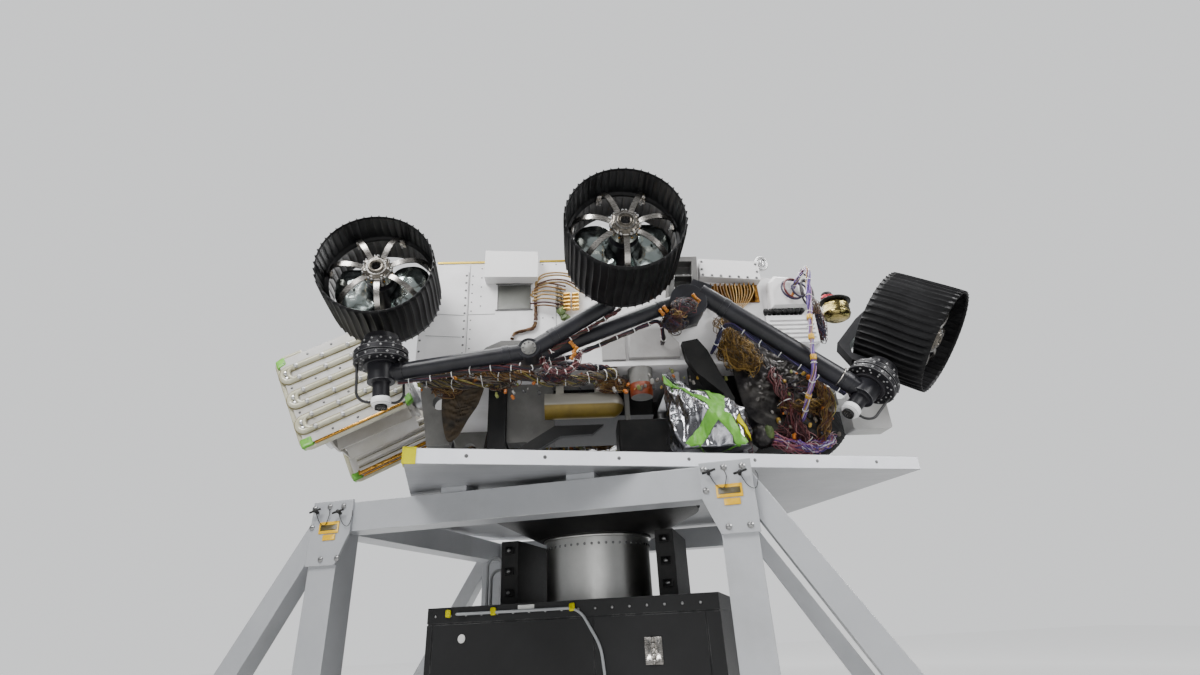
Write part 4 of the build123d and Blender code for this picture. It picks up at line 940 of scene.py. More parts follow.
def armRoutes():
    # the same runs and arcs that the plain looms follow under the arms and down the body's side, then for
    # each its bend, its spread and its colours
    pivotP, pivotB, elbow, legTop = [np.array(arm[n], float) for n in ("pivotP", "pivotB", "elbow", "legTop")]
    frontRoot, frontEnd = pivotP + [70, -34, 62], steerPoint("front", arm["level"])
    rearRoot, forkEnd = pivotP + [-30, -34, 20], pivotB + [0, 56, 0]
    pivotSide, rearEnd = pivotB + [0, -24, 0], steerPoint("rear", arm["level"])
    front, rear, wall = arm["frontOff"], arm["rearOff"], arm["wall"]
    frontShare = 1 - arm["endGap"] / np.linalg.norm(frontEnd - frontRoot)
    rearShare = 1 - arm["endGap"] / np.linalg.norm(rearEnd - pivotSide)
    elbowShare = arm["elbowGap"] / np.linalg.norm(elbow - pivotSide)
    lead = [(640, wall, 2062), (640, -735, 2062), beside(frontRoot, frontEnd, 0.2, front),
            beside(frontRoot, frontEnd, frontShare, front)]
    back = [beside(pivotSide, rearEnd, rearShare, rear), beside(pivotSide, rearEnd, 0.25, rear),
            pivotB + [0, -26, -86], beside(forkEnd, rearRoot, 0.24, rear + 14),
            beside(forkEnd, rearRoot, 0.82, rear), (388, -712, 2112), (388, wall - arm["rise"], 2112)]
    rise = [beside(pivotSide, elbow, elbowShare, rear), beside(pivotSide, elbow, 1.0, rear) + [26, 0, 16],
            beside(elbow, legTop, 0.7, rear) + [70, 0, 40], legTop + [66, 0, 0]]
    down = ((-256, 2440), (-256, 2310), (-262, 2235), (-365, 2215), (-380, 2170))
    side = [(x, wall - 9, z) for x, z in down]
    drop = [(1120, wall - arm["hump"], 2420), (1120, -885, 2420), (1062, -895, 2100), (1040, -880, 1850),
            (1040, -560, 1640), (1040, -560, 2004)]
    return dict(lead=(lead, 42, 9, "blue"), back=(back, 42, 9, "dark"), rise=(rise, 42, 8, "dark"),
                side=(side, 30, 8, "brown"), drop=(drop, 60, 10, "purple"))


def addLooms():
    # a bundle of wires with ties along each route, joined to one piece for each plain node
    routes = armRoutes()
    for node, keys in (("arm_looms", ("lead", "back", "rise")), ("side_looms", ("side", "drop"))):
        parts, tints, ties = [], [], []
        for _, k in sides:
            for n, key in enumerate(keys):
                points, bend, spread, colours = routes[key]
                path = arcPath(rv(points, k), bend / 1000, arm["step"])
                seed = 7 * n + (k < 0)
                tube, faces, each = strands(path, arm["wires"], spread / 1000, arm["thick"], 3 + n, seed, 0.3)
                parts.append((tube, faces))
                tints.append(wireTint(arm["wires"], each, looms[colours], 11 + n))
                ties.append(tieBands(path, arm["tieEvery"], spread / 1000 + 0.003, 5 + n + (k < 0)))
        obj = makePiece(node.replace("looms", "wires"), parts, wire, tint=np.concatenate(tints))
        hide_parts(node)
        makePiece(node.replace("looms", "ties"), ties, whiteTie)


addLooms()
print("looms done")


# loose-looking wires: loops, tangles and belts on both sides of the body
def tangle(centre, size, count, seed, samples=36):
    # closed curves, each a sum of three sine waves a direction, drawn into a flattened ball, so a wire loops
    # back on itself
    rng = np.random.default_rng(seed)
    paths = []
    t = turns(samples)[:, None]
    for _ in range(count):
        amp = rng.normal(size=(3, 3)) / np.array([1, 1.6, 2.6])
        phase = rng.uniform(0, 2 * pi, (3, 3))
        curve = sum(amp[:, j] * np.sin((j + 1) * t + phase[:, j]) for j in range(3))
        curve = curve / (1 + np.linalg.norm(curve, axis=1, keepdims=True)) * 1.5
        paths.append(rv(np.asarray(centre) + curve * np.asarray(size)))
    return paths


def wireSet(name, paths, thick, colours, seed, k=1, closed=True, sides=3):
    # every path becomes a thin tube, each with its own colour
    rng = np.random.default_rng(seed)
    parts, tints = [], []
    for path in paths:
        part = tubeAlong(path * np.array([1, k, 1]), thick / 1000, sides, closed=closed)
        colour = np.asarray(colours)[rng.integers(0, len(colours))] * rng.uniform(0.75, 1.2)
        parts.append(part)
        tints.append(np.tile(colour, (len(part[0]), 1)))
    return makePiece(name, parts, wire, tint=np.concatenate(tints).clip(0, 1))


tangles = (
    # name, centre, half sizes, wires, thickness, colours
    ("bay_corner", (1262, -575, 2230), (34, 30, 110), 26, 2.0, "dark"),
    ("bay_corner_pale", (1250, -590, 2330), (30, 26, 60), 14, 1.6, "pale"),
    ("rear_clump", (-700, -560, 1935), (80, 46, 46), 20, 2.2, "brown"),
    ("mid_clump", (-430, -590, 1945), (90, 36, 40), 20, 2.2, "pale"),
    ("pivot_clump", (-160, -690, 1945), (80, 40, 40), 22, 2.0, "dark"),
    ("rocker_clump", (420, -852, 2130), (62, 20, 62), 30, 2.2, "dark"),
    ("rocker_purple", (470, -858, 2195), (52, 16, 34), 12, 1.8, "blue"),
    ("hub_clump", (468, -892, 2192), (66, 14, 46), 34, 2.4, "dark"),
    ("hub_brown", (440, -890, 2160), (40, 14, 34), 12, 2.0, "brown"),
    ("under_clump", (130, -560, 1925), (100, 40, 46), 20, 2.0, "brown"),
    ("front_fill", (1060, -585, 1850), (120, 50, 90), 40, 2.4, "dark"),
    ("front_fill_brown", (1075, -590, 1740), (110, 50, 90), 34, 2.2, "brown"),
    ("front_low", (960, -590, 1640), (110, 50, 70), 30, 2.4, "red"),
    ("gold_nest", (772, -652, 2065), (84, 24, 84), 40, 2.3, "gold"),
)

skeins = (
    # name, route, spread, wires, thickness, turns, colours, step of the ties or 0: bundles that hang from
    # deck and side
    ("gold_skein", ((745, -626, 2270), (735, -652, 2200), (742, -662, 2120), (775, -662, 2050),
                    (822, -650, 1995), (850, -620, 1985)), 52, 70, 2.3, 0.3, "gold", 0),
    ("gold_skein_low", ((694, -620, 2110), (704, -656, 2040), (752, -664, 1985), (818, -655, 1985),
                        (856, -625, 2040)), 36, 44, 2.3, 0.3, "gold", 0),
    ("red_drop", ((930, -600, 1975), (945, -640, 1890), (968, -650, 1780), (1000, -640, 1665),
                  (1060, -620, 1575)), 30, 34, 2.6, 1.2, "red", 0.12),
    ("gold_band", ((940, -620, 1775), (985, -662, 1752), (1050, -668, 1750), (1120, -655, 1765),
                   (1180, -620, 1800)), 20, 26, 2.4, 1.0, "gold", 0),
    ("brown_drop", ((1130, -600, 1965), (1150, -640, 1880), (1165, -650, 1780), (1150, -640, 1680),
                    (1110, -620, 1590)), 26, 30, 2.6, 1.0, "brown", 0),
    ("plate_bundle", ((840, -590, 1640), (880, -632, 1596), (960, -640, 1556), (1060, -630, 1549),
                      (1130, -610, 1572), (1190, -585, 1620)), 26, 40, 3.0, 0.3, "rose", 0.1),
    ("bracket_wires", ((1150, -600, 1900), (1185, -640, 1850), (1205, -648, 1790), (1190, -640, 1720),
                       (1150, -610, 1650)), 12, 12, 2.6, 0.6, "pale", 0),
    ("plate_purple", ((985, -640, 1580), (1040, -655, 1540), (1110, -650, 1545), (1170, -620, 1590)), 15, 20,
     2.8, 0.8, "purple", 0),
    ("mid_arc", ((-214, -868, 1958), (-196, -884, 1908), (-150, -890, 1872), (-95, -890, 1876),
                 (-55, -884, 1920), (-34, -872, 1985)), 12, 18, 2.3, 1.5, "red", 0.034),
)

belts = (
    # name, route, spread, wires, colours: long bundles under the deck's edge, from the rear to the front bay
    ("belt_low", ((-820, -606, 1960), (-600, -640, 1930), (-360, -628, 1965), (-120, -645, 1925),
                  (60, -636, 1950), (150, -596, 1975)), 26, 34, "pale"),
    ("belt_high", ((-560, -618, 2000), (-300, -700, 1985), (-120, -660, 2005), (40, -640, 1990),
                   (120, -598, 2000)), 17, 20, "dark"),
    ("belt_rear", ((-840, -600, 2000), (-700, -636, 1975), (-560, -628, 1995), (-420, -640, 1960),
                   (-260, -628, 1985)), 22, 26, "brown"),
)

clutter = dict(
    count=50, box=(0.009, 0.03), shape=(1, 0.66, 0.56), spread=(-16, 18), lean=-1.5,
    # x from and to, y, z from and to
    spans=((-840, 1150, -616, 1905, 1990), (-480, 560, -630, 1860, 1935), (880, 1200, -640, 1600, 1960)),
    shades=((0.05, 0.05, 0.05), (0.3, 0.29, 0.27), (0.4, 0.25, 0.04), (0.02, 0.02, 0.03), (0.2, 0.22, 0.06),
            (0.5, 0.14, 0.01), (0.14, 0.12, 0.1)))

sideLoops = dict(
    plugZ=(2478, 2456, 2430, 2408, 2384, 2360, 2342), archTop=(2556, 2540, 2512, 2496), loopThick=4.6,
    # centre x and z, half width, half height and tilt of the big loops over the front hump
    rings=((1112, 2402, 58, 66, 0.3), (1117, 2404, 54, 62, 1.2), (1178, 2378, 32, 72, 2.1),
           (1184, 2384, 30, 64, 0.5), (1188, 2494, 20, 26, 0.2), (1140, 2385, 44, 40, 1.7)), ringThick=5.6,
    combX=698, combStep=16, combCount=14, combThick=2.3)


def addTangles():
    # a knot of wires for each tangle, the same on both sides but for the mirror
    for n, (name, centre, size, count, thick, colours) in enumerate(tangles):
        paths = tangle(centre, size, count, 100 + n)
        for side, k in sides:
            wireSet(f"{side}_{name}", paths, thick, looms[colours], 200 + n, k)


def addSkeins():
    # strands wound about a spline, with white ties at the skein's own step where it has one
    for n, (name, route, spread, count, thick, wind, colours, _) in enumerate(skeins):
        for side, k in sides:
            path = splinePath(rv(route, k), 42)
            tube, faces, each = strands(path, count, spread / 1000, thick / 1000, wind, 51 + n, 0.5)
            tint = wireTint(count, each, looms[colours], 71 + n)
            makePiece(f"{side}_{name}", (tube, faces), wire, tint=tint)
    for side, k in sides:
        bands = [tieBands(splinePath(rv(route, k), 160), every, spread / 1000 * 0.9, 9)
                 for _, route, spread, _, _, _, _, every in skeins if every]
        makePiece(f"{side}_skein_ties", bands, whiteTie)


def addBelts():
    # strands wound about a spline, with ties at an even step
    for name, route, spread, count, colours in belts:
        for side, k in sides:
            path = splinePath(rv(route, k), 84)
            tube, faces, each = strands(path, count, spread / 1000, 0.0028, 4, 31 + len(name))
            makePiece(f"{side}_{name}", (tube, faces), wire, tint=wireTint(count, each, looms[colours], 17))
            ties = tieBands(splinePath(rv(route, k), 220), 0.11, spread / 1000 + 0.002, 3)
            makePiece(f"{side}_{name}_ties", ties, whiteTie)


def addSideLoops():
    # half loops from the loom's head round to the connectors, taller arcs above them, big loops over the
    # front hump, and fine wires that hang from the comb and gather into the skein below it
    s = sideLoops
    for side, k in sides:
        paths = []
        for i, z in enumerate(s["plugZ"]):
            head, bow = 2440 - 12 * i, 40 + 9 * ((i * 5) % 4)
            route = [(-252, -616, head), (-262 - 10 * (i % 3), -622, (head + z) / 2 + 6),
                     (-215, -630 - i, z + 16), (-150, -626 - bow / 9, z + 8), (-96, -618, z)]
            paths.append(splinePath(rv(route), 26))
        for i, top in enumerate(s["archTop"]):
            route = [(-250, -614, 2452), (-256 + 4 * i, -622, 2500 - 6 * i), (-226, -630, top - 14),
                     (-170, -634, top), (-96, -632, top - 4), (-20, -626, top - 30 - 8 * i),
                     (24, -606, top - 70)]
            paths.append(splinePath(rv(route), 36))
        wireSet(f"{side}_connector_loops", paths, s["loopThick"], looms["brown"], 61, k, closed=False,
                sides=6)
        a = turns(40)
        rings = []
        for i, (cx, cz, rx, rz, tilt) in enumerate(s["rings"]):
            y = -668 - 5 * i + 14 * np.sin(a + tilt)
            rings.append(rv(np.stack([cx + rx * np.cos(a), y, cz + rz * np.sin(a)], -1)))
        wireSet(f"{side}_bay_loops", rings, s["ringThick"], looms["dark"], 62, k, sides=7)
        comb = []
        for i in range(s["combCount"]):
            x = s["combX"] + s["combStep"] * i
            route = [(x, -652, 2452 - i), (x + 1, -655, 2405), (x * 0.72 + 222, -658, 2345),
                     (x * 0.35 + 505, -658, 2290), (735 + 2 * i, -652, 2205)]
            comb.append(splinePath(rv(route), 26))
        wireSet(f"{side}_comb_wires", comb, s["combThick"], looms["bronze"], 63, k, closed=False, sides=6)


def addClutter():
    # small fittings: a box with clipped corners, copied to random places between the looms, each with its own
    # size, lean and colour
    rng = np.random.default_rng(404)
    c = clutter
    n, shades = c["count"], np.array(c["shades"])
    points, faces = slabPoints((0, 0, 0), (1, 0, 0), (0, 1, 0), c["shape"], 0.16, 2)
    for side, k in sides:
        places, sizes, directions, tints = [], [], [], []
        for x0, x1, y, z0, z1 in c["spans"]:
            spots = np.stack([rng.uniform(x0, x1, n), y + rng.uniform(*c["spread"], n),
                              rng.uniform(z0, z1, n)], -1)
            places.append(rv(spots, k))
            sizes.append(rng.uniform(*c["box"], n))
            directions.append(rng.normal(size=(n, 3)) + np.array([0, c["lean"] * k, 0]))
            tints.append(shades[rng.integers(0, len(shades), n)])
        part = stampAll(points, faces, np.concatenate(places), np.concatenate(directions),
                        np.concatenate(sizes))
        tint = np.repeat(np.concatenate(tints), len(points), 0)
        makePiece(f"{side}_fittings", part, wire, tint=tint, smooth=False)


addTangles()
addSkeins()
addBelts()
addSideLoops()
addClutter()
print("wires done")


# trim of the body's walls: rivets, strips, plugs, seams and covers, the same on both sides
trim = dict(
    wall=-601.0, doubler=-607.0, box=-661, stripZ=2652.0, strips=((-790, -530), (-236, 300)),
    stripSize=(0.013, 0.004), recessAt=(-371.5, -597, 2431), recessSize=(0.170, 0.146, 0.006),
    lipZ=(2352, 2510), lipSize=(0.196, 0.007, 0.006), pivotAt=(-267, -941, 1973), studR=0.0265,
    cupAt=(274, -560, 0), cupLow=0.0542, cupHigh=0.0587,
    pivot=(
        (0, 0.007), (0.019, 0.007), (0.021, 0.004), (0.031, 0.004), (0.034, 0.001), (0.034, -0.001),
        (0, -0.001)),
    seams=(
        ((-611, -601, 2070), (-611, -601, 2640)), ((-150, -601, 2160), (-150, -601, 2500)),
        ((610, -601, 2300), (610, -601, 2560)), ((-611, -601, 2330), (-470, -601, 2330)),
        ((-846, -608, 2340), (-628, -608, 2322)), ((-820, -608, 2210), (-640, -608, 2196))))
plugs = dict(
    cols=2, rows=5, step=(46, 22), first=(-92, -624, 2338), size=(0.038, 0.011, 0.026), shells=6,
    shellAt=(-118, -618, 2352), darkAt=(968, -592, 2292), darkStep=24, darks=9,
    shell=((0, 0), (0.0085, 0), (0.0085, 0.016), (0.0105, 0.018), (0.0105, 0.03), (0.007, 0.034), (0, 0.034)),
    orange=(
        (0, 0), (0.0095, 0), (0.0105, 0.009), (0.008, 0.0105), (0.008, 0.026), (0.010, 0.028), (0.009, 0.036),
        (0, 0.036)),
    dark=((0, 0), (0.011, 0), (0.011, 0.02), (0.0135, 0.022), (0.0135, 0.034), (0, 0.036)),
    orangeAt=(
        (392, -868, 2176), (412, -874, 2196), (372, -866, 2160), (529, -868, 2208), (540, -872, 2236),
        (-69, -890, 1962), (-60, -896, 1990), (-80, -894, 1930), (-20, -905, 2115), (-560, -640, 1925),
        (-640, -650, 1945), (1090, -676, 2350)))
recessGrey = finish(
    "recessGrey", (0.15, 0.153, 0.14), (0.12, 0.122, 0.112), rough=(0.4, 0.55), grain=400, grainDepth=0.0002)
cupRed = finish(
    "cupRed", (0.22, 0.04, 0.008), (0.15, 0.024, 0.008), rough=(0.35, 0.5), grainDepth=0.0003, blotchScale=16,
    grain=300)
oliveGold = finish(
    "oliveGold", (0.4, 0.28, 0.03), (0.5, 0.36, 0.06), rough=(0.3, 0.45), metal=0.8, grain=200,
    grainDepth=0.0002)
brightGold = finish(
    "brightGold", (0.85, 0.58, 0.18), (0.7, 0.42, 0.1), rough=(0.18, 0.32), metal=1.0, grain=400,
    edgeColour=(0.95, 0.8, 0.45), edgeRadius=0.002)


def column(x, y, heights):
    # points one above the other
    return [(x, y, z) for z in heights]


def row(xs, y, z):
    # points side by side
    return [(x, y, z) for x in xs]


def sloped(xs, y, z, slope):
    # points side by side on a line that starts at height z and falls by slope
    return [(x, y, z - (x - 630) * slope) for x in xs]


def addRivets(side, k, out):
    # heads in rows and columns at even steps, the side box's bolts along its lid's slope, and strips along
    # the edge
    edge, wall, box = trim["doubler"], trim["wall"], trim["box"]
    rivets = column(-628, edge, range(2060, 2600, 46)) + column(-846, edge, range(2060, 2600, 62))
    rivets += row(range(-820, -640, 36), edge, 2052)
    stamped(f"{side}_doubler_rivets", domeShape(0.0062, 0.003), rv(rivets, k), out, rivetDark)
    small = column(-596, wall, range(2080, 2620, 54)) + column(-548, wall, range(2380, 2620, 58))
    small += row(range(-220, 600, 74), wall, 2630) + row(range(-220, -60, 52), wall, 2300)
    stamped(f"{side}_wall_rivets", domeShape(0.0042, 0.002), rv(small, k), out, rivetDark)
    bolts = sloped(range(645, 950, 48), box, 2510, 0.0923) + sloped((645, 940), box, 2592, 0.077)
    bolts += sloped((643, 942), box, 2545, 0.08)
    stamped(f"{side}_box_bolts", boltShape(0.0052, 0.004), rv(bolts, k), out, rivetDark)
    strips = [slab(((a + b) / 2, wall - 1, trim["stripZ"]), k, ((b - a) / 1000, *trim["stripSize"]), 0.0015)
              for a, b in trim["strips"]]
    makePiece(f"{side}_edge_strip", strips, oliveGold, smooth=False, outward=True)


def addPlugs(side, k):
    # a block of flat connectors, turned shells beside it, orange plugs that lean to either side and a row of
    # dark ones
    p = plugs
    x, y, z = p["first"]
    blocks = [slab((x + p["step"][0] * col, y, z + p["step"][1] * line), k, p["size"], 0.003, (1, 0, 0.05))
              for line in range(p["rows"]) for col in range(p["cols"])]
    makePiece(f"{side}_connectors", blocks, brightGold, outward=True)
    x, y, z = p["shellAt"]
    shells = [turned(p["shell"], 14, rv((x, y, z + p["step"][1] * i), k), (-1, -0.3 * k, 0.1 * (i - 2)))
              for i in range(p["shells"])]
    makePiece(f"{side}_connector_shells", shells, bronzeHub, outward=True)
    orange = [turned(p["orange"], 16, rv(place, k), (0.6 if i % 2 else -0.7, -0.5 * k, 0.7))
              for i, place in enumerate(p["orangeAt"])]
    makePiece(f"{side}_orange_plugs", orange, orangePlug, outward=True)
    x, y, z = p["darkAt"]
    darks = [turned(p["dark"], 16, rv((x + p["darkStep"] * i, y, z), k), (0.12 * (i % 3 - 1), -k, 0.25))
             for i in range(p["darks"])]
    makePiece(f"{side}_dark_plugs", darks, blackSteel, outward=True)


def addCovers(side, k, out):
    # seams, the recess with its lips, the bogie pivot's cap with a ring of studs, and the red band of the cup
    t = trim
    seams = [tubeAlong(rv(line, k), 0.0011, 4) for line in t["seams"]]
    makePiece(f"{side}_wall_seams", seams, rivetDark)
    cover = slab(t["recessAt"], k, t["recessSize"], 0.002)
    makePiece(f"{side}_recess_cover", cover, recessGrey, outward=True)
    lips = [slab((t["recessAt"][0], -602, z), k, t["lipSize"], 0.002) for z in t["lipZ"]]
    makePiece(f"{side}_recess_lips", lips, rivetDark, outward=True)
    pivot = rv(t["pivotAt"], k)
    makePiece(f"{side}_pivot_cap", turned(t["pivot"], 40, pivot, out), fittingGrey, outward=True)
    studs = pivot + out * 0.004 + circle(t["studR"], turns(8))[:, [0, 2, 1]]
    stamped(f"{side}_pivot_studs", boltShape(0.0032, 0.004), studs, out, rivetDark)
    low, high = t["cupLow"], t["cupHigh"]
    band = [(low - 0.002, 1.857), (low + 0.0015, 1.858), (high + 0.0015, 1.922), (high - 0.002, 1.923)]
    makePiece(f"{side}_cup_band", turnedRing(band, 48, rv(t["cupAt"], k), upward, (1, 0, 0)), cupRed,
              outward=True)


for side, k in sides:
    outDir = np.array([0, -k, 0.0])
    addRivets(side, k, outDir)
    addPlugs(side, k)
    addCovers(side, k, outDir)


# wrapped and crumpled pieces: putty, the bay's device, the front bracket, sheets of painted shade, and what
# sits on the arms
lumps = dict(
    putty=(((-122, -620, 2330), (26, 16, 34), 5), ((-104, -618, 2292), (30, 14, 22), 6)),
    clamp=((985, -620, 2600), (26, 20, 34), 7), clampRing=(985, -630, 2590), clampR=(30, 42),
    wrapped=((824, -640, 1612), (60, 50, 62), 13), patch=((846, -662, 1622), (32, 32, 40), 14))
device = dict(
    at=(1372, -560, 2270), lean=(0.1, 0, 1), top=((1350, -560, 2402), (44, 34, 22), 8),
    cap=((1344, -560, 2424), (30, 26, 18), 12),
    body=(
        (0, 0), (0.05, 0), (0.068, 0.012), (0.074, 0.03), (0.070, 0.034), (0.072, 0.052), (0.066, 0.058),
        (0.070, 0.075), (0.062, 0.098), (0, 0.1)),
    brim=((0, 0.098), (0.076, 0.1), (0.081, 0.104), (0.081, 0.109), (0.072, 0.113), (0.05, 0.118), (0, 0.12)))
bracket = dict(
    at=(1218, -600, 1815), size=(0.062, 0.1, 0.012), holeAt=(1213, -607, 1822),
    ring=((0.011, 0), (0.017, 0.0), (0.017, 0.004), (0.011, 0.004)))
# outlines in x and height of two crumpled sheets of painted shade, dark at the front and brown at the rear,
# and the y of each
shadeSheets = dict(
    dark=(
        (742, 2190), (880, 2170), (1010, 2110), (1120, 2010), (1190, 1870), (1180, 1640), (1000, 1610),
        (800, 1700), (742, 1900)),
    cloth=((-730, 2004), (-540, 2004), (-545, 1890), (-600, 1790), (-650, 1700), (-700, 1690), (-735, 1850)),
    darkY=-618, clothY=-500)
armTrim = dict(
    seamFrom=(570, -824, 2302), seamAt=0.86, sleevesAt=(0.36, 0.43, 0.5, 0.64), sleeveR=0.0145,
    seam=((0.0505, -0.0025), (0.0536, -0.002), (0.0536, 0.002), (0.0505, 0.0025)))
goldWrap = finish(
    "goldWrap", (0.6, 0.36, 0.03), (0.45, 0.24, 0.02), rough=(0.3, 0.45), grain=260, grainDepth=0.0004,
    blotchScale=30)
# painted shade: a dark brown for the sheet under the deck's rear
brownCloth = finish(
    "brownCloth", (0.075, 0.055, 0.035), (0.03, 0.026, 0.022), rough=(0.6, 0.8), grain=120, grainDepth=0.001,
    blotchScale=16, specular=0.25)
# dark crinkled film, for the wrapped ball and for the front sheet of painted shade
darkFilm = foilFinish(
    "darkFilm", (0.09, 0.085, 0.08), (0.03, 0.028, 0.03), scale=22, depth=0.003, rough=(0.3, 0.5))
deviceFoil = foilFinish(
    "deviceFoil", (0.34, 0.27, 0.1), (0.1, 0.09, 0.035), scale=34, depth=0.003, rough=(0.16, 0.34))
redFilm = foilFinish(
    "redFilm", (0.32, 0.03, 0.04), (0.12, 0.02, 0.03), scale=40, depth=0.003, rough=(0.3, 0.5))


def lump(centre, size, seed, k=1, depth=0.12, rows=40, cols=24, folds=0.05):
    # a ball with unlike half sizes, dented by folded waves
    ball = ballPoints(rows, cols, 0.03)
    size = np.asarray(size, float) / 1000
    dent = crumple(ball * size, folds, 1.0, seed)
    points = rv(centre, k) + (ball * size * (1 + depth * dent[..., None])).reshape(-1, 3)
    return points, gridFaces(rows, cols, True, False)


def crumpledSheet(outline, y, k):
    # rays from the outline's middle to a smooth curve through its corners, dented by folded waves, with a
    # thin back
    corners = np.array(outline, float)
    loop = np.column_stack([np.vstack([corners, corners[:1]]), np.zeros(len(corners) + 1)])
    curve = splinePath(loop, 97)[:-1, :2]
    share = np.linspace(0, 1, 22)[None, :, None]
    flat = corners.mean(0) * (1 - share) + curve[:, None] * share
    p = rv(np.stack([flat[..., 0], np.full(flat.shape[:2], float(y)), flat[..., 1]], -1), k)
    dent = crumple(p, 0.09, 0.016, 9, 3)
    p[..., 1] -= k * (0.014 + dent) * (1 - share[..., 0] ** 6)
    back = p.copy()
    back[..., 1] = rv((0, y + 1, 0), k)[1]
    sheet = np.concatenate([p, back[:, [-1, 0]]], 1)
    return sheet.reshape(-1, 3), gridFaces(*sheet.shape[:2], True, False)


def addPutty(side, k):
    # putty, and a hose clamp with its ring
    m = lumps
    makePiece(f"{side}_green_putty", [lump(*spot, k, 0.3) for spot in m["putty"]], oliveTape)
    a = turns(28)
    (x, y, z), (rx, rz) = m["clampRing"], m["clampR"]
    hoop = tubeAlong(rv(np.stack([x + rx * np.cos(a), 0 * a + y, z + rz * np.sin(a)], -1), k), 0.006, 8,
                     closed=True)
    makePiece(f"{side}_hose_clamp", [lump(*m["clamp"], k, 0.3), hoop], bareAlloy, outward=True)


def addBayDevice(side, k):
    # a turned body in foil under a turned brim, with a lump in red film and a dark one on top
    d = device
    stem = rv(d["at"], k)
    makePiece(f"{side}_bay_device", turned(d["body"], 48, stem, d["lean"]), deviceFoil, outward=True)
    makePiece(f"{side}_bay_device_brim", turned(d["brim"], 48, stem, d["lean"]), blackSteel, outward=True)
    makePiece(f"{side}_bay_device_top", lump(*d["top"], k, 0.14), redFilm)
    makePiece(f"{side}_bay_device_cap", lump(*d["cap"], k, 0.1), blackSteel)


def addBracket(side, k):
    # a plate with a ring round its hole
    b = bracket
    makePiece(f"{side}_front_bracket", slab(b["at"], k, b["size"], 0.004, (1, 0, 0.1)), fittingGrey,
              outward=True)
    ring = turnedRing(b["ring"], 24, rv(b["holeAt"], k), (0, -k, 0))
    makePiece(f"{side}_front_bracket_ring", ring, blackSteel, outward=True)


def addWraps(side, k):
    # a wrapped ball with a patch, a dark sheet of painted shade at the front and a brown sheet of painted
    # shade under the deck's rear
    makePiece(f"{side}_wrapped_ball", lump(*lumps["wrapped"], k, 0.1), darkFilm)
    frontSheet = crumpledSheet(shadeSheets["dark"], shadeSheets["darkY"], k)
    makePiece(f"{side}_dark_drape", frontSheet, darkFilm, outward=True)
    cloth = crumpledSheet(shadeSheets["cloth"], shadeSheets["clothY"], k)
    makePiece(f"{side}_rear_cloth", cloth, brownCloth, outward=True)
    makePiece(f"{side}_wrapped_ball_patch", lump(*lumps["patch"], k, 0.12), oliveTape)


def addArmTrim(side, k):
    # a thin ring round the front arm, and short gold sleeves on the loom that drops to the deck
    t = armTrim
    start, end = rv(t["seamFrom"], k), rv(steerPoint("front", arm["level"]), k)
    along = (end - start) / np.linalg.norm(end - start)
    seam = turnedRing(t["seam"], 56, start + (end - start) * t["seamAt"], along)
    makePiece(f"{side}_arm_seam", seam, titanium, outward=True)
    drop = arcPath(rv(armRoutes()["drop"][0], k), 0.06)
    starts = [int(share * len(drop)) for share in t["sleevesAt"]]
    sleeves = [tubeAlong(drop[first:first + 5], t["sleeveR"], 12) for first in starts]
    makePiece(f"{side}_drop_sleeves", sleeves, goldWrap, outward=True)


for side, k in sides:
    addPutty(side, k)
    addBayDevice(side, k)
    addBracket(side, k)
    addWraps(side, k)
    addArmTrim(side, k)
print("trim done")


# rivets where the photo doesn't look: the bay's slant and the pan's slope are read from tables
shell = dict(
    rear=-860.0, bayZ=(2100, 2300, 2500), bayX=(1226, 1235, 1204), panX=(-660, 40, 440, 840),
    panZ=(2667, 2667, 2655, 2622), panY=490.0)


def addShellTrim():
    # a frame of rivets on the rear wall and on the front bay, and two rows of bolts along the belly pan
    frameYZ = [(y, z) for y in range(-480, 481, 60) for z in (2110, 2490)]
    frameYZ += [(y, z) for y in (-480, 480) for z in range(2160, 2470, 55)]
    y, z = np.array(frameYZ, float).T
    head = domeShape(0.005, 0.0026)
    rear = np.stack([np.full(len(y), shell["rear"]), y, z], -1)
    stamped("rear_wall_rivets", head, rv(rear), (-1.0, 0, 0), rivetDark)
    bay = np.stack([np.interp(z, shell["bayZ"], shell["bayX"]), y, z], -1)
    stamped("bay_rivets", head, rv(bay), (1.0, 0, 0), rivetDark)
    x = np.repeat(np.arange(-760.0, 781, 55), 2)
    y = np.tile([-shell["panY"], shell["panY"]], len(x) // 2)
    pan = np.stack([x, y, np.interp(x, shell["panX"], shell["panZ"])], -1)
    stamped("belly_bolts", boltShape(0.006, 0.004), rv(pan), upward, rivetDark)


addShellTrim()
print("shell trim done")


# foil bag over the mast head, with a green tape cross
bag = dict(
    low=1508, high=1926, radii=(0.6, 196, 204, 204, 194, 180, 160, 140, 116, 84, 52, 12),
    heights=(0, 0.02, 0.2, 0.36, 0.45, 0.52, 0.585, 0.645, 0.7, 0.76, 0.85, 1.0),
    centreX=(549, 549, 549, 549, 543, 530, 511, 492, 470, 440, 412, 376),
    centreY=(-700, -700, -700, -700, -700, -700, -700, -700, -697, -694, -692, -690), rows=150, cols=120,
    tapeWidth=0.054, patchWidth=0.03, patch=((-0.98, 0.33), (-0.72, 0.24), (-0.5, 0.12)),
    # a metre of the bag's skin for one unit of turn and of height
    metres=(0.19, 0.389), lift=0.0035,
    cross=(
        ((-2.6, 0.93), (-1.9, 0.8), (-1.66, 0.58), (-1.5, 0.4), (-1.22, 0.2), (-0.95, 0.02)),
        ((-0.8, 0.68), (-1.15, 0.58), (-1.5, 0.4), (-1.85, 0.21), (-2.2, 0.02))))


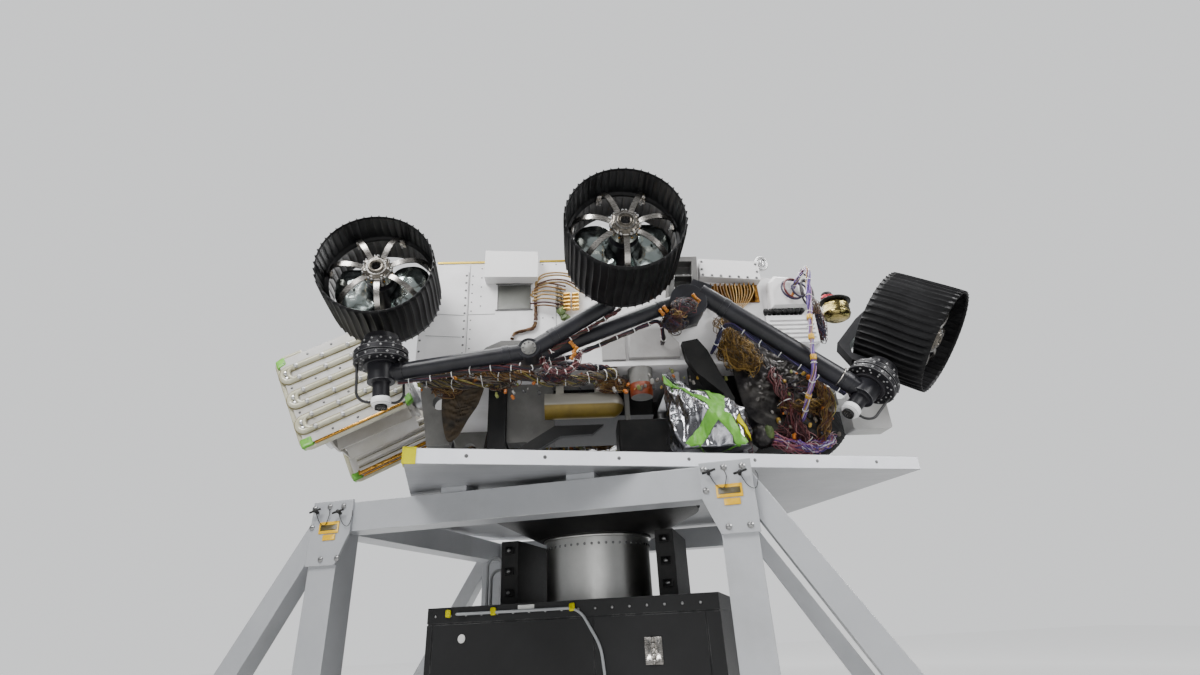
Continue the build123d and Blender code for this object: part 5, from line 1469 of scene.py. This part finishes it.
def bagTape(p, line, width):
    # a spline in the bag's own (turn, height) is widened square to itself, and each point is read off the
    # bag's skin between its four neighbours and lifted; the strip is closed underneath and at both ends
    rows, cols = p.shape[:2]
    size = np.array(bag["metres"])
    path = splinePath(np.concatenate([np.array(line), np.zeros((len(line), 1))], 1), 90)[:, :2]
    step = np.gradient(path, axis=0) * size
    n = np.stack([-step[:, 1], step[:, 0]], 1) / np.linalg.norm(step, axis=1, keepdims=True)
    across = np.linspace(-0.5, 0.5, 11)
    at = path[:, None] + across[None, :, None] * width * n[:, None] / size
    fi, vi = (at[..., 0] % (2 * pi)) / (2 * pi) * rows, np.clip(at[..., 1], 0, 0.995) * (cols - 1)
    i0, j0 = fi.astype(int) % rows, vi.astype(int)
    a, c = (fi - fi.astype(int))[..., None], (vi - j0)[..., None]
    i1, j1 = (i0 + 1) % rows, np.minimum(j0 + 1, cols - 1)
    near = p[i0, j0] * (1 - a) * (1 - c) + p[i1, j0] * a * (1 - c)
    q = near + p[i0, j1] * (1 - a) * c + p[i1, j1] * a * c
    lift = np.stack([np.cos(at[..., 0]), np.sin(at[..., 0]), 0 * at[..., 0]], -1) * bag["lift"]
    loop = np.concatenate([q + lift, (q + lift * 0.2)[:, ::-1]], 1)
    ends = [np.repeat(loop[i:i + 1].mean(1, keepdims=True), loop.shape[1], 1) for i in (0, -1)]
    loop = np.concatenate([ends[0], loop, ends[1]])
    return loop.reshape(-1, 3), gridFaces(*loop.shape[:2], False, True)


def addBag():
    # a barrel whose radius and centre follow tables over its height; folded waves crease it, and upright
    # pleats gather its neck
    b = bag
    u, v = np.meshgrid(turns(b["rows"]), np.linspace(0, 1, b["cols"]), indexing="ij")
    radius = np.interp(v, b["heights"], b["radii"])
    square = 1 / (np.abs(np.cos(u)) ** 4 + np.abs(np.sin(u)) ** 4) ** 0.25
    pleat = 1 + 0.07 * np.sin(11 * u + 5 * v) * np.clip((v - 0.5) / 0.4, 0, 1) + 0.04 * np.sin(5 * u + 9 * v)
    ring = radius * (1 + (square - 1) * 0.5) * pleat * 0.94
    x = np.interp(v, b["heights"], b["centreX"]) + ring * np.cos(u)
    y = np.interp(v, b["heights"], b["centreY"]) + ring * np.sin(u)
    z = b["low"] + (b["high"] - b["low"]) * v
    p = rv(np.stack([x, y, z], -1))
    fold = crumple(p * np.array([1, 1, 0.4]), 0.17, 0.024, 77, 2)
    outwardDir = np.stack([np.cos(u), np.sin(u), 0.15 * np.ones_like(u)], -1)
    p = p + outwardDir * (fold * np.clip(radius / 60, 0, 1))[..., None]
    p[..., 2] = np.maximum(p[..., 2], b["low"] / 1000)
    low = p[:, :1].mean(0, keepdims=True).repeat(b["rows"], 0)
    high = p[:, -1:].mean(0, keepdims=True).repeat(b["rows"], 0)
    grid = np.concatenate([low, p, high], 1).reshape(-1, 3)
    faces = gridFaces(b["rows"], b["cols"] + 2, True, False)
    obj = makePiece("mast_foil", (grid, faces), silverFoil)
    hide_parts("mast_bag")
    tapes = [bagTape(p, line, b["tapeWidth"]) for line in b["cross"]]
    makePiece("bag_tape", tapes, greenTape, outward=True)
    makePiece("bag_patch", bagTape(p, b["patch"], b["patchWidth"]), yellowTape, outward=True)


addBag()
print("bag done")


# trim of the generator, in its own axes: x along the core, y square to it, z outboard
generator = dict(
    centre=(-1279, 0, 2066), pitch=25.0, outer=400, inner=354, pipe=15.5, pipeGap=36, crease=3.2,
    pairs=(-150, 0, 150), straight=(256, 100, -80), ribsAt=(90, 135, 180, 225), linesAt=(117, 162, 207),
    clampsAt=(-200, -60, 80, 220), screwX=(-255, -130, 0, 130, 255), screwY=(-232, -75, 75, 232),
    tapeAt=((-268, -244), (-270, 240), (262, -246)),
    # y, drop from the outer face and size of the panel's gold edges
    edges=((-262, 22, (0.46, 0.05, 0.012)), (-238, 52, (0.5, 0.02, 0.03))))
# painted shade: an olive for thin lines beside each pipe and between the ribs, where their shadows fall
creaseOlive = finish(
    "creaseOlive", (0.2, 0.17, 0.07), (0.13, 0.11, 0.05), rough=(0.5, 0.65), grain=300, grainDepth=0.0002)


def genPoint(points, k=1):
    # the generator's own axes, pitched about the rover's y, added to its centre
    p = np.asarray(points, float)
    a = math.radians(generator["pitch"])
    along, outboard = np.array([math.cos(a), 0, math.sin(a)]), np.array([0, -1.0, 0])
    across = np.cross(outboard, along)
    moved = p[..., :1] * along + p[..., 1:2] * across + p[..., 2:] * outboard
    return rv(np.array(generator["centre"]) + moved, k)


def genDir(v, k):
    # a direction in the generator's own axes
    return genPoint(v, k) - genPoint((0, 0, 0), k)


def hairpins(k, shifts, radius, lift, count):
    # for each pair of pipes two straights and a half circle, widened by each shift
    g = generator
    a = np.linspace(pi / 2, 3 * pi / 2, 24)
    parts = []
    for m in g["pairs"]:
        for shift in shifts:
            r = g["pipeGap"] + shift
            bend = np.stack([-246 + r * np.cos(a), m + r * np.sin(a), 0 * a + lift], -1)
            there = np.array([(x, m + r, lift) for x in g["straight"]])
            back = np.array([(x, m - r, lift) for x in g["straight"][::-1]])
            route = np.concatenate([there, bend, back]) + np.array([0, 0, g["outer"]])
            parts.append(tubeAlong(genPoint(route, k), radius / 1000, count))
    return joined(parts)


def addRibs(side, k):
    # straight ribs on the inner face, with thin olive lines of painted shade between them
    g = generator
    for name, reach, depth, spots, radius, count, paint in (
            ("inner_ribs", 238, 5, g["ribsAt"], 0.014, 12, creamPaint),
            ("inner_rib_lines", 240, 0, g["linesAt"], 0.006, 6, creaseOlive)):
        z = g["inner"] - depth
        ys = [-y for y in spots[::-1]] + list(spots)
        bars = [tubeAlong(genPoint(between((-reach, y, z), (reach, y, z), 3), k), radius, count) for y in ys]
        makePiece(f"{side}_{name}", bars, paint, outward=name == "inner_ribs")


def addPipes(side, k):
    # covers over the pipes, thin olive lines of painted shade inside and outside each of them, clamps and
    # bosses
    g, out = generator, (0, -k, 0)
    makePiece(f"{side}_pipe_covers", hairpins(k, (0,), g["pipe"], 2, 12), creamTube, outward=True)
    addRibs(side, k)
    aside = g["pipe"] + 2
    makePiece(f"{side}_pipe_creases", hairpins(k, (aside, -aside), g["crease"], 0.5, 6), creaseOlive)
    lines = [(m, s) for m in g["pairs"] for s in (-1, 1)]
    clamps = [(x, m + s * g["pipeGap"], g["outer"] + 4) for m, s in lines for x in g["clampsAt"]]
    stamped(f"{side}_pipe_clamps", domeShape(0.0155, 0.021, 12), genPoint(clamps, k), out, bareAlloy)
    bosses = [(-262, m + s * 18, g["outer"] + 3) for m, s in lines]
    stamped(f"{side}_pipe_bosses", boltShape(0.011, 0.012, 12), genPoint(bosses, k), out, bareAlloy)


def addPanelTrim(side, k):
    # tape on three corners, gold edges and rows of screws
    g = generator
    tape = [slabPoints(genPoint((x, y, g["outer"] - 22), k), genDir((1, 0.2 * i, 0), k), genDir((0, 1, 0), k),
                       (0.062 - 0.01 * i, 0.05, 0.05), 0.008) for i, (x, y) in enumerate(g["tapeAt"])]
    makePiece(f"{side}_corner_tape", tape, greenTape, outward=True)
    edges = [slabPoints(genPoint((0, y, g["outer"] - drop), k), genDir((1, 0, 0), k), (0, -1, 0), size, 0.003)
             for y, drop, size in g["edges"]]
    makePiece(f"{side}_panel_edge", edges, goldFilm, outward=True)
    screws = [(x, y, g["outer"]) for x in g["screwX"] for y in g["screwY"]]
    stamped(f"{side}_panel_screws", boltShape(0.0048, 0.0035), genPoint(screws, k), (0, -k, 0.0), rivetDark)


for side, k in sides:
    addPipes(side, k)
    addPanelTrim(side, k)
print("generator done")


# trim of the stand: labels and pins, plate, drum and cabinet
stand = dict(
    ring=(-94, 95), ringYaw=-16.4, half=960.5, plate=(133, 161), plateYaw=11.5, plateHalf=1127.5,
    plateTop=1470, plateWall=60)
gusset = dict(
    corners=((-1, -1), (1, -1), (1, 1), (-1, 1)), face=12.5, inset=85, pins=((-70, 1352), (48, 1340)),
    # x from the label, height, depth before the face, size and edge
    plates=((0, 1282, 1.5, (0.1, 0.05, 0.003), 0.001), (6, 1240, 1.5, (0.062, 0.024, 0.003), 0.001)),
    field=(0, 1282, 3, (0.084, 0.024, 0.0015), 0.0005),
    pin=(
        (0, 0), (0.007, 0), (0.007, 0.01), (0.0045, 0.012), (0.0045, 0.02), (0.008, 0.021), (0.008, 0.028),
        (0, 0.029)),
    # x and height from the pin, and depth before the face, of its cord
    cord=((0, 14, 0), (24, 9, -46), (52, 7, -58), (66, 6, -18), (60, 2, 8)),
    bolts=((-88, 1370), (-88, 1288), (60, 1370), (60, 1150), (-20, 1150), (-10, 1372)))
drumTrim = dict(
    screwZ=1204, screwR=0.2752, screws=48, screwTurn=3.9116063,
    bands=((945, 0.279, 0.006), (1243, 0.281, 0.008)), flangeR=0.5605, flangeZ=1.39,
    latchX=(-400, 400), latchZ=(1000, 1100, 1200), latch=(0.05, 0.036, 0.018))
cabinet = dict(
    front=-600.0, back=600.3, lidZ=905, screwStep=(74, 122), coverAt=(-478, 812), cardAt=(-180, 922),
    hingeZ=(738, 250), leafX=(348, 386), knuckleX=367, tapeX=(-545, -330, 30), tapeZ=914,
    cover=((0, 0.003), (0.016, 0.003), (0.0175, 0.002), (0.0175, 0.0), (0, 0.0)))
labelPale = finish(
    "labelPale", (0.62, 0.62, 0.6), (0.55, 0.55, 0.54), rough=(0.4, 0.55), grain=300, grainDepth=0.0002)


def turnedPlace(points, centre, yaw):
    # millimetres in a stand part's own axes, turned about Z and moved to its centre
    p = np.asarray(points, float)
    a = math.radians(yaw)
    x = p[..., 0] * math.cos(a) - p[..., 1] * math.sin(a) + centre[0]
    y = p[..., 0] * math.sin(a) + p[..., 1] * math.cos(a) + centre[1]
    return np.stack([x, y, p[..., 2]], -1) / 1000


def ringAt(points):
    # a place on the stand's ring of beams
    return turnedPlace(points, stand["ring"], stand["ringYaw"])


def tableAt(points):
    # a place on the drum and the cabinet, which share the ring's turn but stand on the frame's own axis
    return turnedPlace(points, (0, 0), stand["ringYaw"])


def plateAt(points):
    # a place on the support plate
    return turnedPlace(points, stand["plate"], stand["plateYaw"])


def ringDir(v):
    # a direction in the ring's axes, of the same length
    return ringAt(np.asarray(v, float) * 1000) - ringAt((0, 0, 0))


def plateDir(v):
    # a direction in the plate's axes, of the same length
    return plateAt(np.asarray(v, float) * 1000) - plateAt((0, 0, 0))


def addLabels():
    # blank warning plates, quick-release pins with lanyards, and bolts on the corner gussets
    g, h = gusset, stand["half"]
    plates, fields, pins, cords, places, normals = [], [], [], [], [], []
    for sx, sy in g["corners"]:
        face, x0 = sy * (h + g["face"]), sx * (h - g["inset"])
        for spots, parts in ((g["plates"], plates), ((g["field"],), fields)):
            for x, z, depth, size, edge in spots:
                centre = ringAt((x0 + x, face + sy * depth, z))
                parts.append(slabPoints(centre, ringDir((1, 0, 0)), upward, size, edge))
        for dx, z in g["pins"]:
            origin, axis = ringAt((x0 + dx, face, z)), ringDir((0.1, sy, 0.2))
            pins.append(turned(g["pin"], 14, origin, axis))
            bar = ringDir((1, 0, 0.25)) * 0.026
            grip = origin + axis / np.linalg.norm(axis) * 0.024
            pins.append(tubeAlong(between(grip - bar, grip + bar, 4), 0.0048, 8))
            sag = [(x0 + dx + x, face + sy * y, z + rise) for x, y, rise in g["cord"]]
            cords.append(tubeAlong(splinePath(ringAt(sag), 36), 0.0014, 6))
        places += [ringAt((x0 + x, face, z)) for x, z in g["bolts"]]
        normals += [ringDir((0, sy, 0))] * len(g["bolts"])
    makePiece("gusset_labels", plates, labelYellow, outward=True)
    makePiece("gusset_label_fields", fields, labelDark, outward=True)
    makePiece("release_pins", pins, blackSteel, outward=True)
    makePiece("pin_lanyards", cords, blackSteel)
    stamped("gusset_bolts", boltShape(0.009, 0.008), places, normals, boltSteel)


def addPlateTrim():
    # bright strips on the plate's walls, a pale colour that is a painted highlight of the lamps on the metal,
    # dark countersunk holes along them, a grid of tapped holes on top and a strip of tape on one corner
    half, top, wall = stand["plateHalf"], stand["plateTop"], stand["plateWall"]
    strips = []
    for quarter in range(4):
        a = math.radians(stand["plateYaw"] + 90 * quarter)
        along, away = np.array([math.cos(a), math.sin(a), 0]), np.array([math.sin(a), -math.cos(a), 0])
        middle = plateAt((0, 0, top - wall / 2)) + away * (half / 1000 + 0.0003)
        size = (2 * half / 1000 - 0.001, wall / 1000 - 0.004, 0.0012)
        strips.append(slabPoints(middle, along, upward, size, 0.0004))
    # the strips carry the painted highlight of the walls
    makePiece("plate_edges", strips, plateEdge, smooth=False, outward=True)
    dot = turned([(0, 0), (0.0065, 0), (0.0075, 0.0006), (0.005, 0.001), (0, 0.001)], 16, (0, 0, 0), upward,
                 (1, 0, 0))
    spots, out, z = np.linspace(-0.8, 0.8, 7) * half, -half - 1.2, top - 28
    holes = [(x, out, z) for x in spots] + [(out, x * 0.5 - 250, z) for x in spots]
    normals = [plateDir((0, -1, 0))] * len(spots) + [plateDir((-1, 0, 0))] * len(spots)
    stamped("plate_edge_holes", dot, plateAt(holes), normals, rivetDark)
    x, y = plateDir((1, 0, 0)), plateDir((0, 1, 0))
    tape = [slabPoints(plateAt((-half + 18, -half - 2.6, top - 30)), x, upward, (0.05, 0.063, 0.003), 0.001),
            slabPoints(plateAt((-half - 2.6, -half + 24, top - 30)), y, upward, (0.06, 0.063, 0.003), 0.001),
            slabPoints(plateAt((-half + 18, -half + 24, top + 1.2)), x, y, (0.05, 0.06, 0.003), 0.001)]
    makePiece("corner_marker_tape", tape, yellowTape, smooth=False, outward=True)
    tapped = [(x, y, top) for x in range(-1000, 1001, 200) for y in range(-1000, 450, 200)]
    stamped("plate_tapped_holes", dot, plateAt(tapped), upward, rivetDark)


def addDrumTrim():
    # bands and a row of screws round the spin drum, bolts round the flange, latches on the drum's posts
    d = drumTrim
    level = np.array([1, 1, 0])
    screws = circle(d["screwR"], turns(d["screws"]) + d["screwTurn"], d["screwZ"] / 1000)
    stamped("drum_screws", boltShape(0.0048, 0.004), screws, screws * level, boltSteel)
    bands = [tubeAlong(circle(r, turns(120), z / 1000), thick, 8, closed=True) for z, r, thick in d["bands"]]
    makePiece("drum_bands", bands, spinSteel, outward=True)
    ring = circle(d["flangeR"], turns(40), d["flangeZ"])
    stamped("flange_bolts", boltShape(0.008, 0.007), ring, ring * level, boltSteel)
    spots = [(x, z) for x in d["latchX"] for z in d["latchZ"]]
    across = ringDir((1, 0, 0))
    latches = [slabPoints(tableAt((x, -263, z)), across, upward, d["latch"], 0.004) for x, z in spots]
    makePiece("post_latches", latches, blackSteel, outward=True)
    heads = tableAt([(x, -272.5, z) for x, z in spots])
    stamped("post_latch_screws", boltShape(0.007, 0.006), heads, ringDir((0, -1, 0)), boltSteel)


def addCabinetTrim():
    # screws along the lid, the pale round cover, a blank card, two leaf hinges, and tape over the cable
    c = cabinet
    front, out, across = c["front"], ringDir((0, -1, 0)), ringDir((1, 0, 0))
    near, far = [range(-610, 640, step) for step in c["screwStep"]]
    screws = row(near, front - 0.3, c["lidZ"]) + row(far, c["back"], c["lidZ"])
    normals = [out] * len(near) + [ringDir((0, 1, 0))] * len(far)
    stamped("cabinet_screws", domeShape(0.006, 0.003, 10), tableAt(screws), normals, boltSteel)
    x, z = c["coverAt"]
    makePiece("cabinet_round_cover", turned(c["cover"], 40, tableAt((x, front - 0.3, z)), out), labelPale,
              outward=True)
    x, z = c["cardAt"]
    card = slabPoints(tableAt((x, front - 1, z)), across, upward, (0.075, 0.022, 0.0015), 0.0006)
    makePiece("cabinet_card", card, labelPale, smooth=False, outward=True)
    leaves, knuckles, pins = [], [], []
    for z in c["hingeZ"]:
        for x in c["leafX"]:
            leaves.append(slabPoints(tableAt((x, front - 2, z)), across, upward, (0.034, 0.1, 0.004), 0.001))
            pins += column(x, front - 4, (z - 34, z, z + 34))
        for low in range(z - 50, z + 50, 20):
            pin = between((c["knuckleX"], front - 6, low + 1), (c["knuckleX"], front - 6, low + 19), 3)
            knuckles.append(tubeAlong(tableAt(pin), 0.006, 10))
    makePiece("cabinet_hinges", leaves + knuckles, titanium, outward=True)
    stamped("cabinet_hinge_screws", domeShape(0.004, 0.002), tableAt(pins), out, rivetDark)
    tape = [slabPoints(tableAt((x, front - 8, c["tapeZ"])), ringDir((1, 0, 0.1 * (i % 3 - 1))), upward,
                       (0.026, 0.032, 0.014), 0.006) for i, x in enumerate(c["tapeX"])]
    makePiece("cable_tape", tape, yellowTape, outward=True)


addLabels()
addPlateTrim()
addDrumTrim()
addCabinetTrim()
print("stand done")


# floor, lights and background
studio = dict(
    size=16.0, near=3.0, far=9.0, floorGlow=0.85, backdrop=(0.86, 0.87, 0.88, 1), lightOnPiece=0.34,
    lightInPicture=1.15)
lights = (
    # name, place, target, size, power
    ("keyPanel", (-2.8, -3.6, 5.6), (0, 0, 2.0), 2.6, 460),
    ("fillPanel", (4.4, -3.0, 4.4), (0, 0, 2.0), 2.6, 300),
    ("topPanel", (0.4, 0.6, 6.0), (0, 0, 2.0), 4.5, 620),
    ("backPanel", (0.0, 4.6, 4.2), (0, 0, 2.0), 3.5, 180),
    ("lowPanel", (-0.5, -4.6, 0.7), (0, 0, 2.2), 2.4, 20),
)


def addStage():
    # a square floor that fades into the backdrop with its distance from the middle
    s = studio
    verts = [[x * s["size"], y * s["size"], 0] for x, y in ((-1, -1), (1, -1), (1, 1), (-1, 1))]
    mesh = bpy.data.meshes.new("studioFloor")
    mesh.from_pydata(verts, [], [[0, 1, 2, 3]])
    floor = bpy.data.objects.new("studioFloor", mesh)
    bpy.context.scene.collection.objects.link(floor)
    paint = finish("floorPaint", (0.62, 0.62, 0.61), (0.58, 0.58, 0.57), rough=(0.5, 0.65), grain=40,
                   grainDepth=0.0002)
    tree = paint.node_tree
    reach = addNode(tree, "ShaderNodeVectorMath", operation="LENGTH")
    link(tree, addNode(tree, "ShaderNodeTexCoord").outputs["Object"], reach.inputs[0])
    glow = tree.nodes["Principled BSDF"]
    glow.inputs["Emission Color"].default_value = s["backdrop"]
    fade = mapValue(tree, reach.outputs["Value"], 0.0, s["floorGlow"], s["near"], s["far"])
    link(tree, fade, glow.inputs["Emission Strength"])
    mesh.materials.append(paint)


def addLights():
    # square area lights turned to their targets, and a backdrop that is brighter in the picture than on the
    # pieces
    for name, place, target, size, power in lights:
        data = bpy.data.lights.new(name, "AREA")
        data.shape = "SQUARE"
        data.size = size
        data.energy = power
        obj = bpy.data.objects.new(name, data)
        obj.location = place
        obj.rotation_euler = (Vector(target) - Vector(place)).to_track_quat("-Z", "Y").to_euler()
        bpy.context.scene.collection.objects.link(obj)
    world = bpy.data.worlds.new("studio")
    bpy.context.scene.world = world
    world.use_nodes = True
    tree = world.node_tree
    background = tree.nodes["Background"]
    background.inputs[0].default_value = studio["backdrop"]
    ray = addNode(tree, "ShaderNodeLightPath")
    strength = mapValue(tree, ray.outputs["Is Camera Ray"], studio["lightOnPiece"], studio["lightInPicture"])
    link(tree, strength, background.inputs[1])


addStage()
addLights()
print("stage ready")
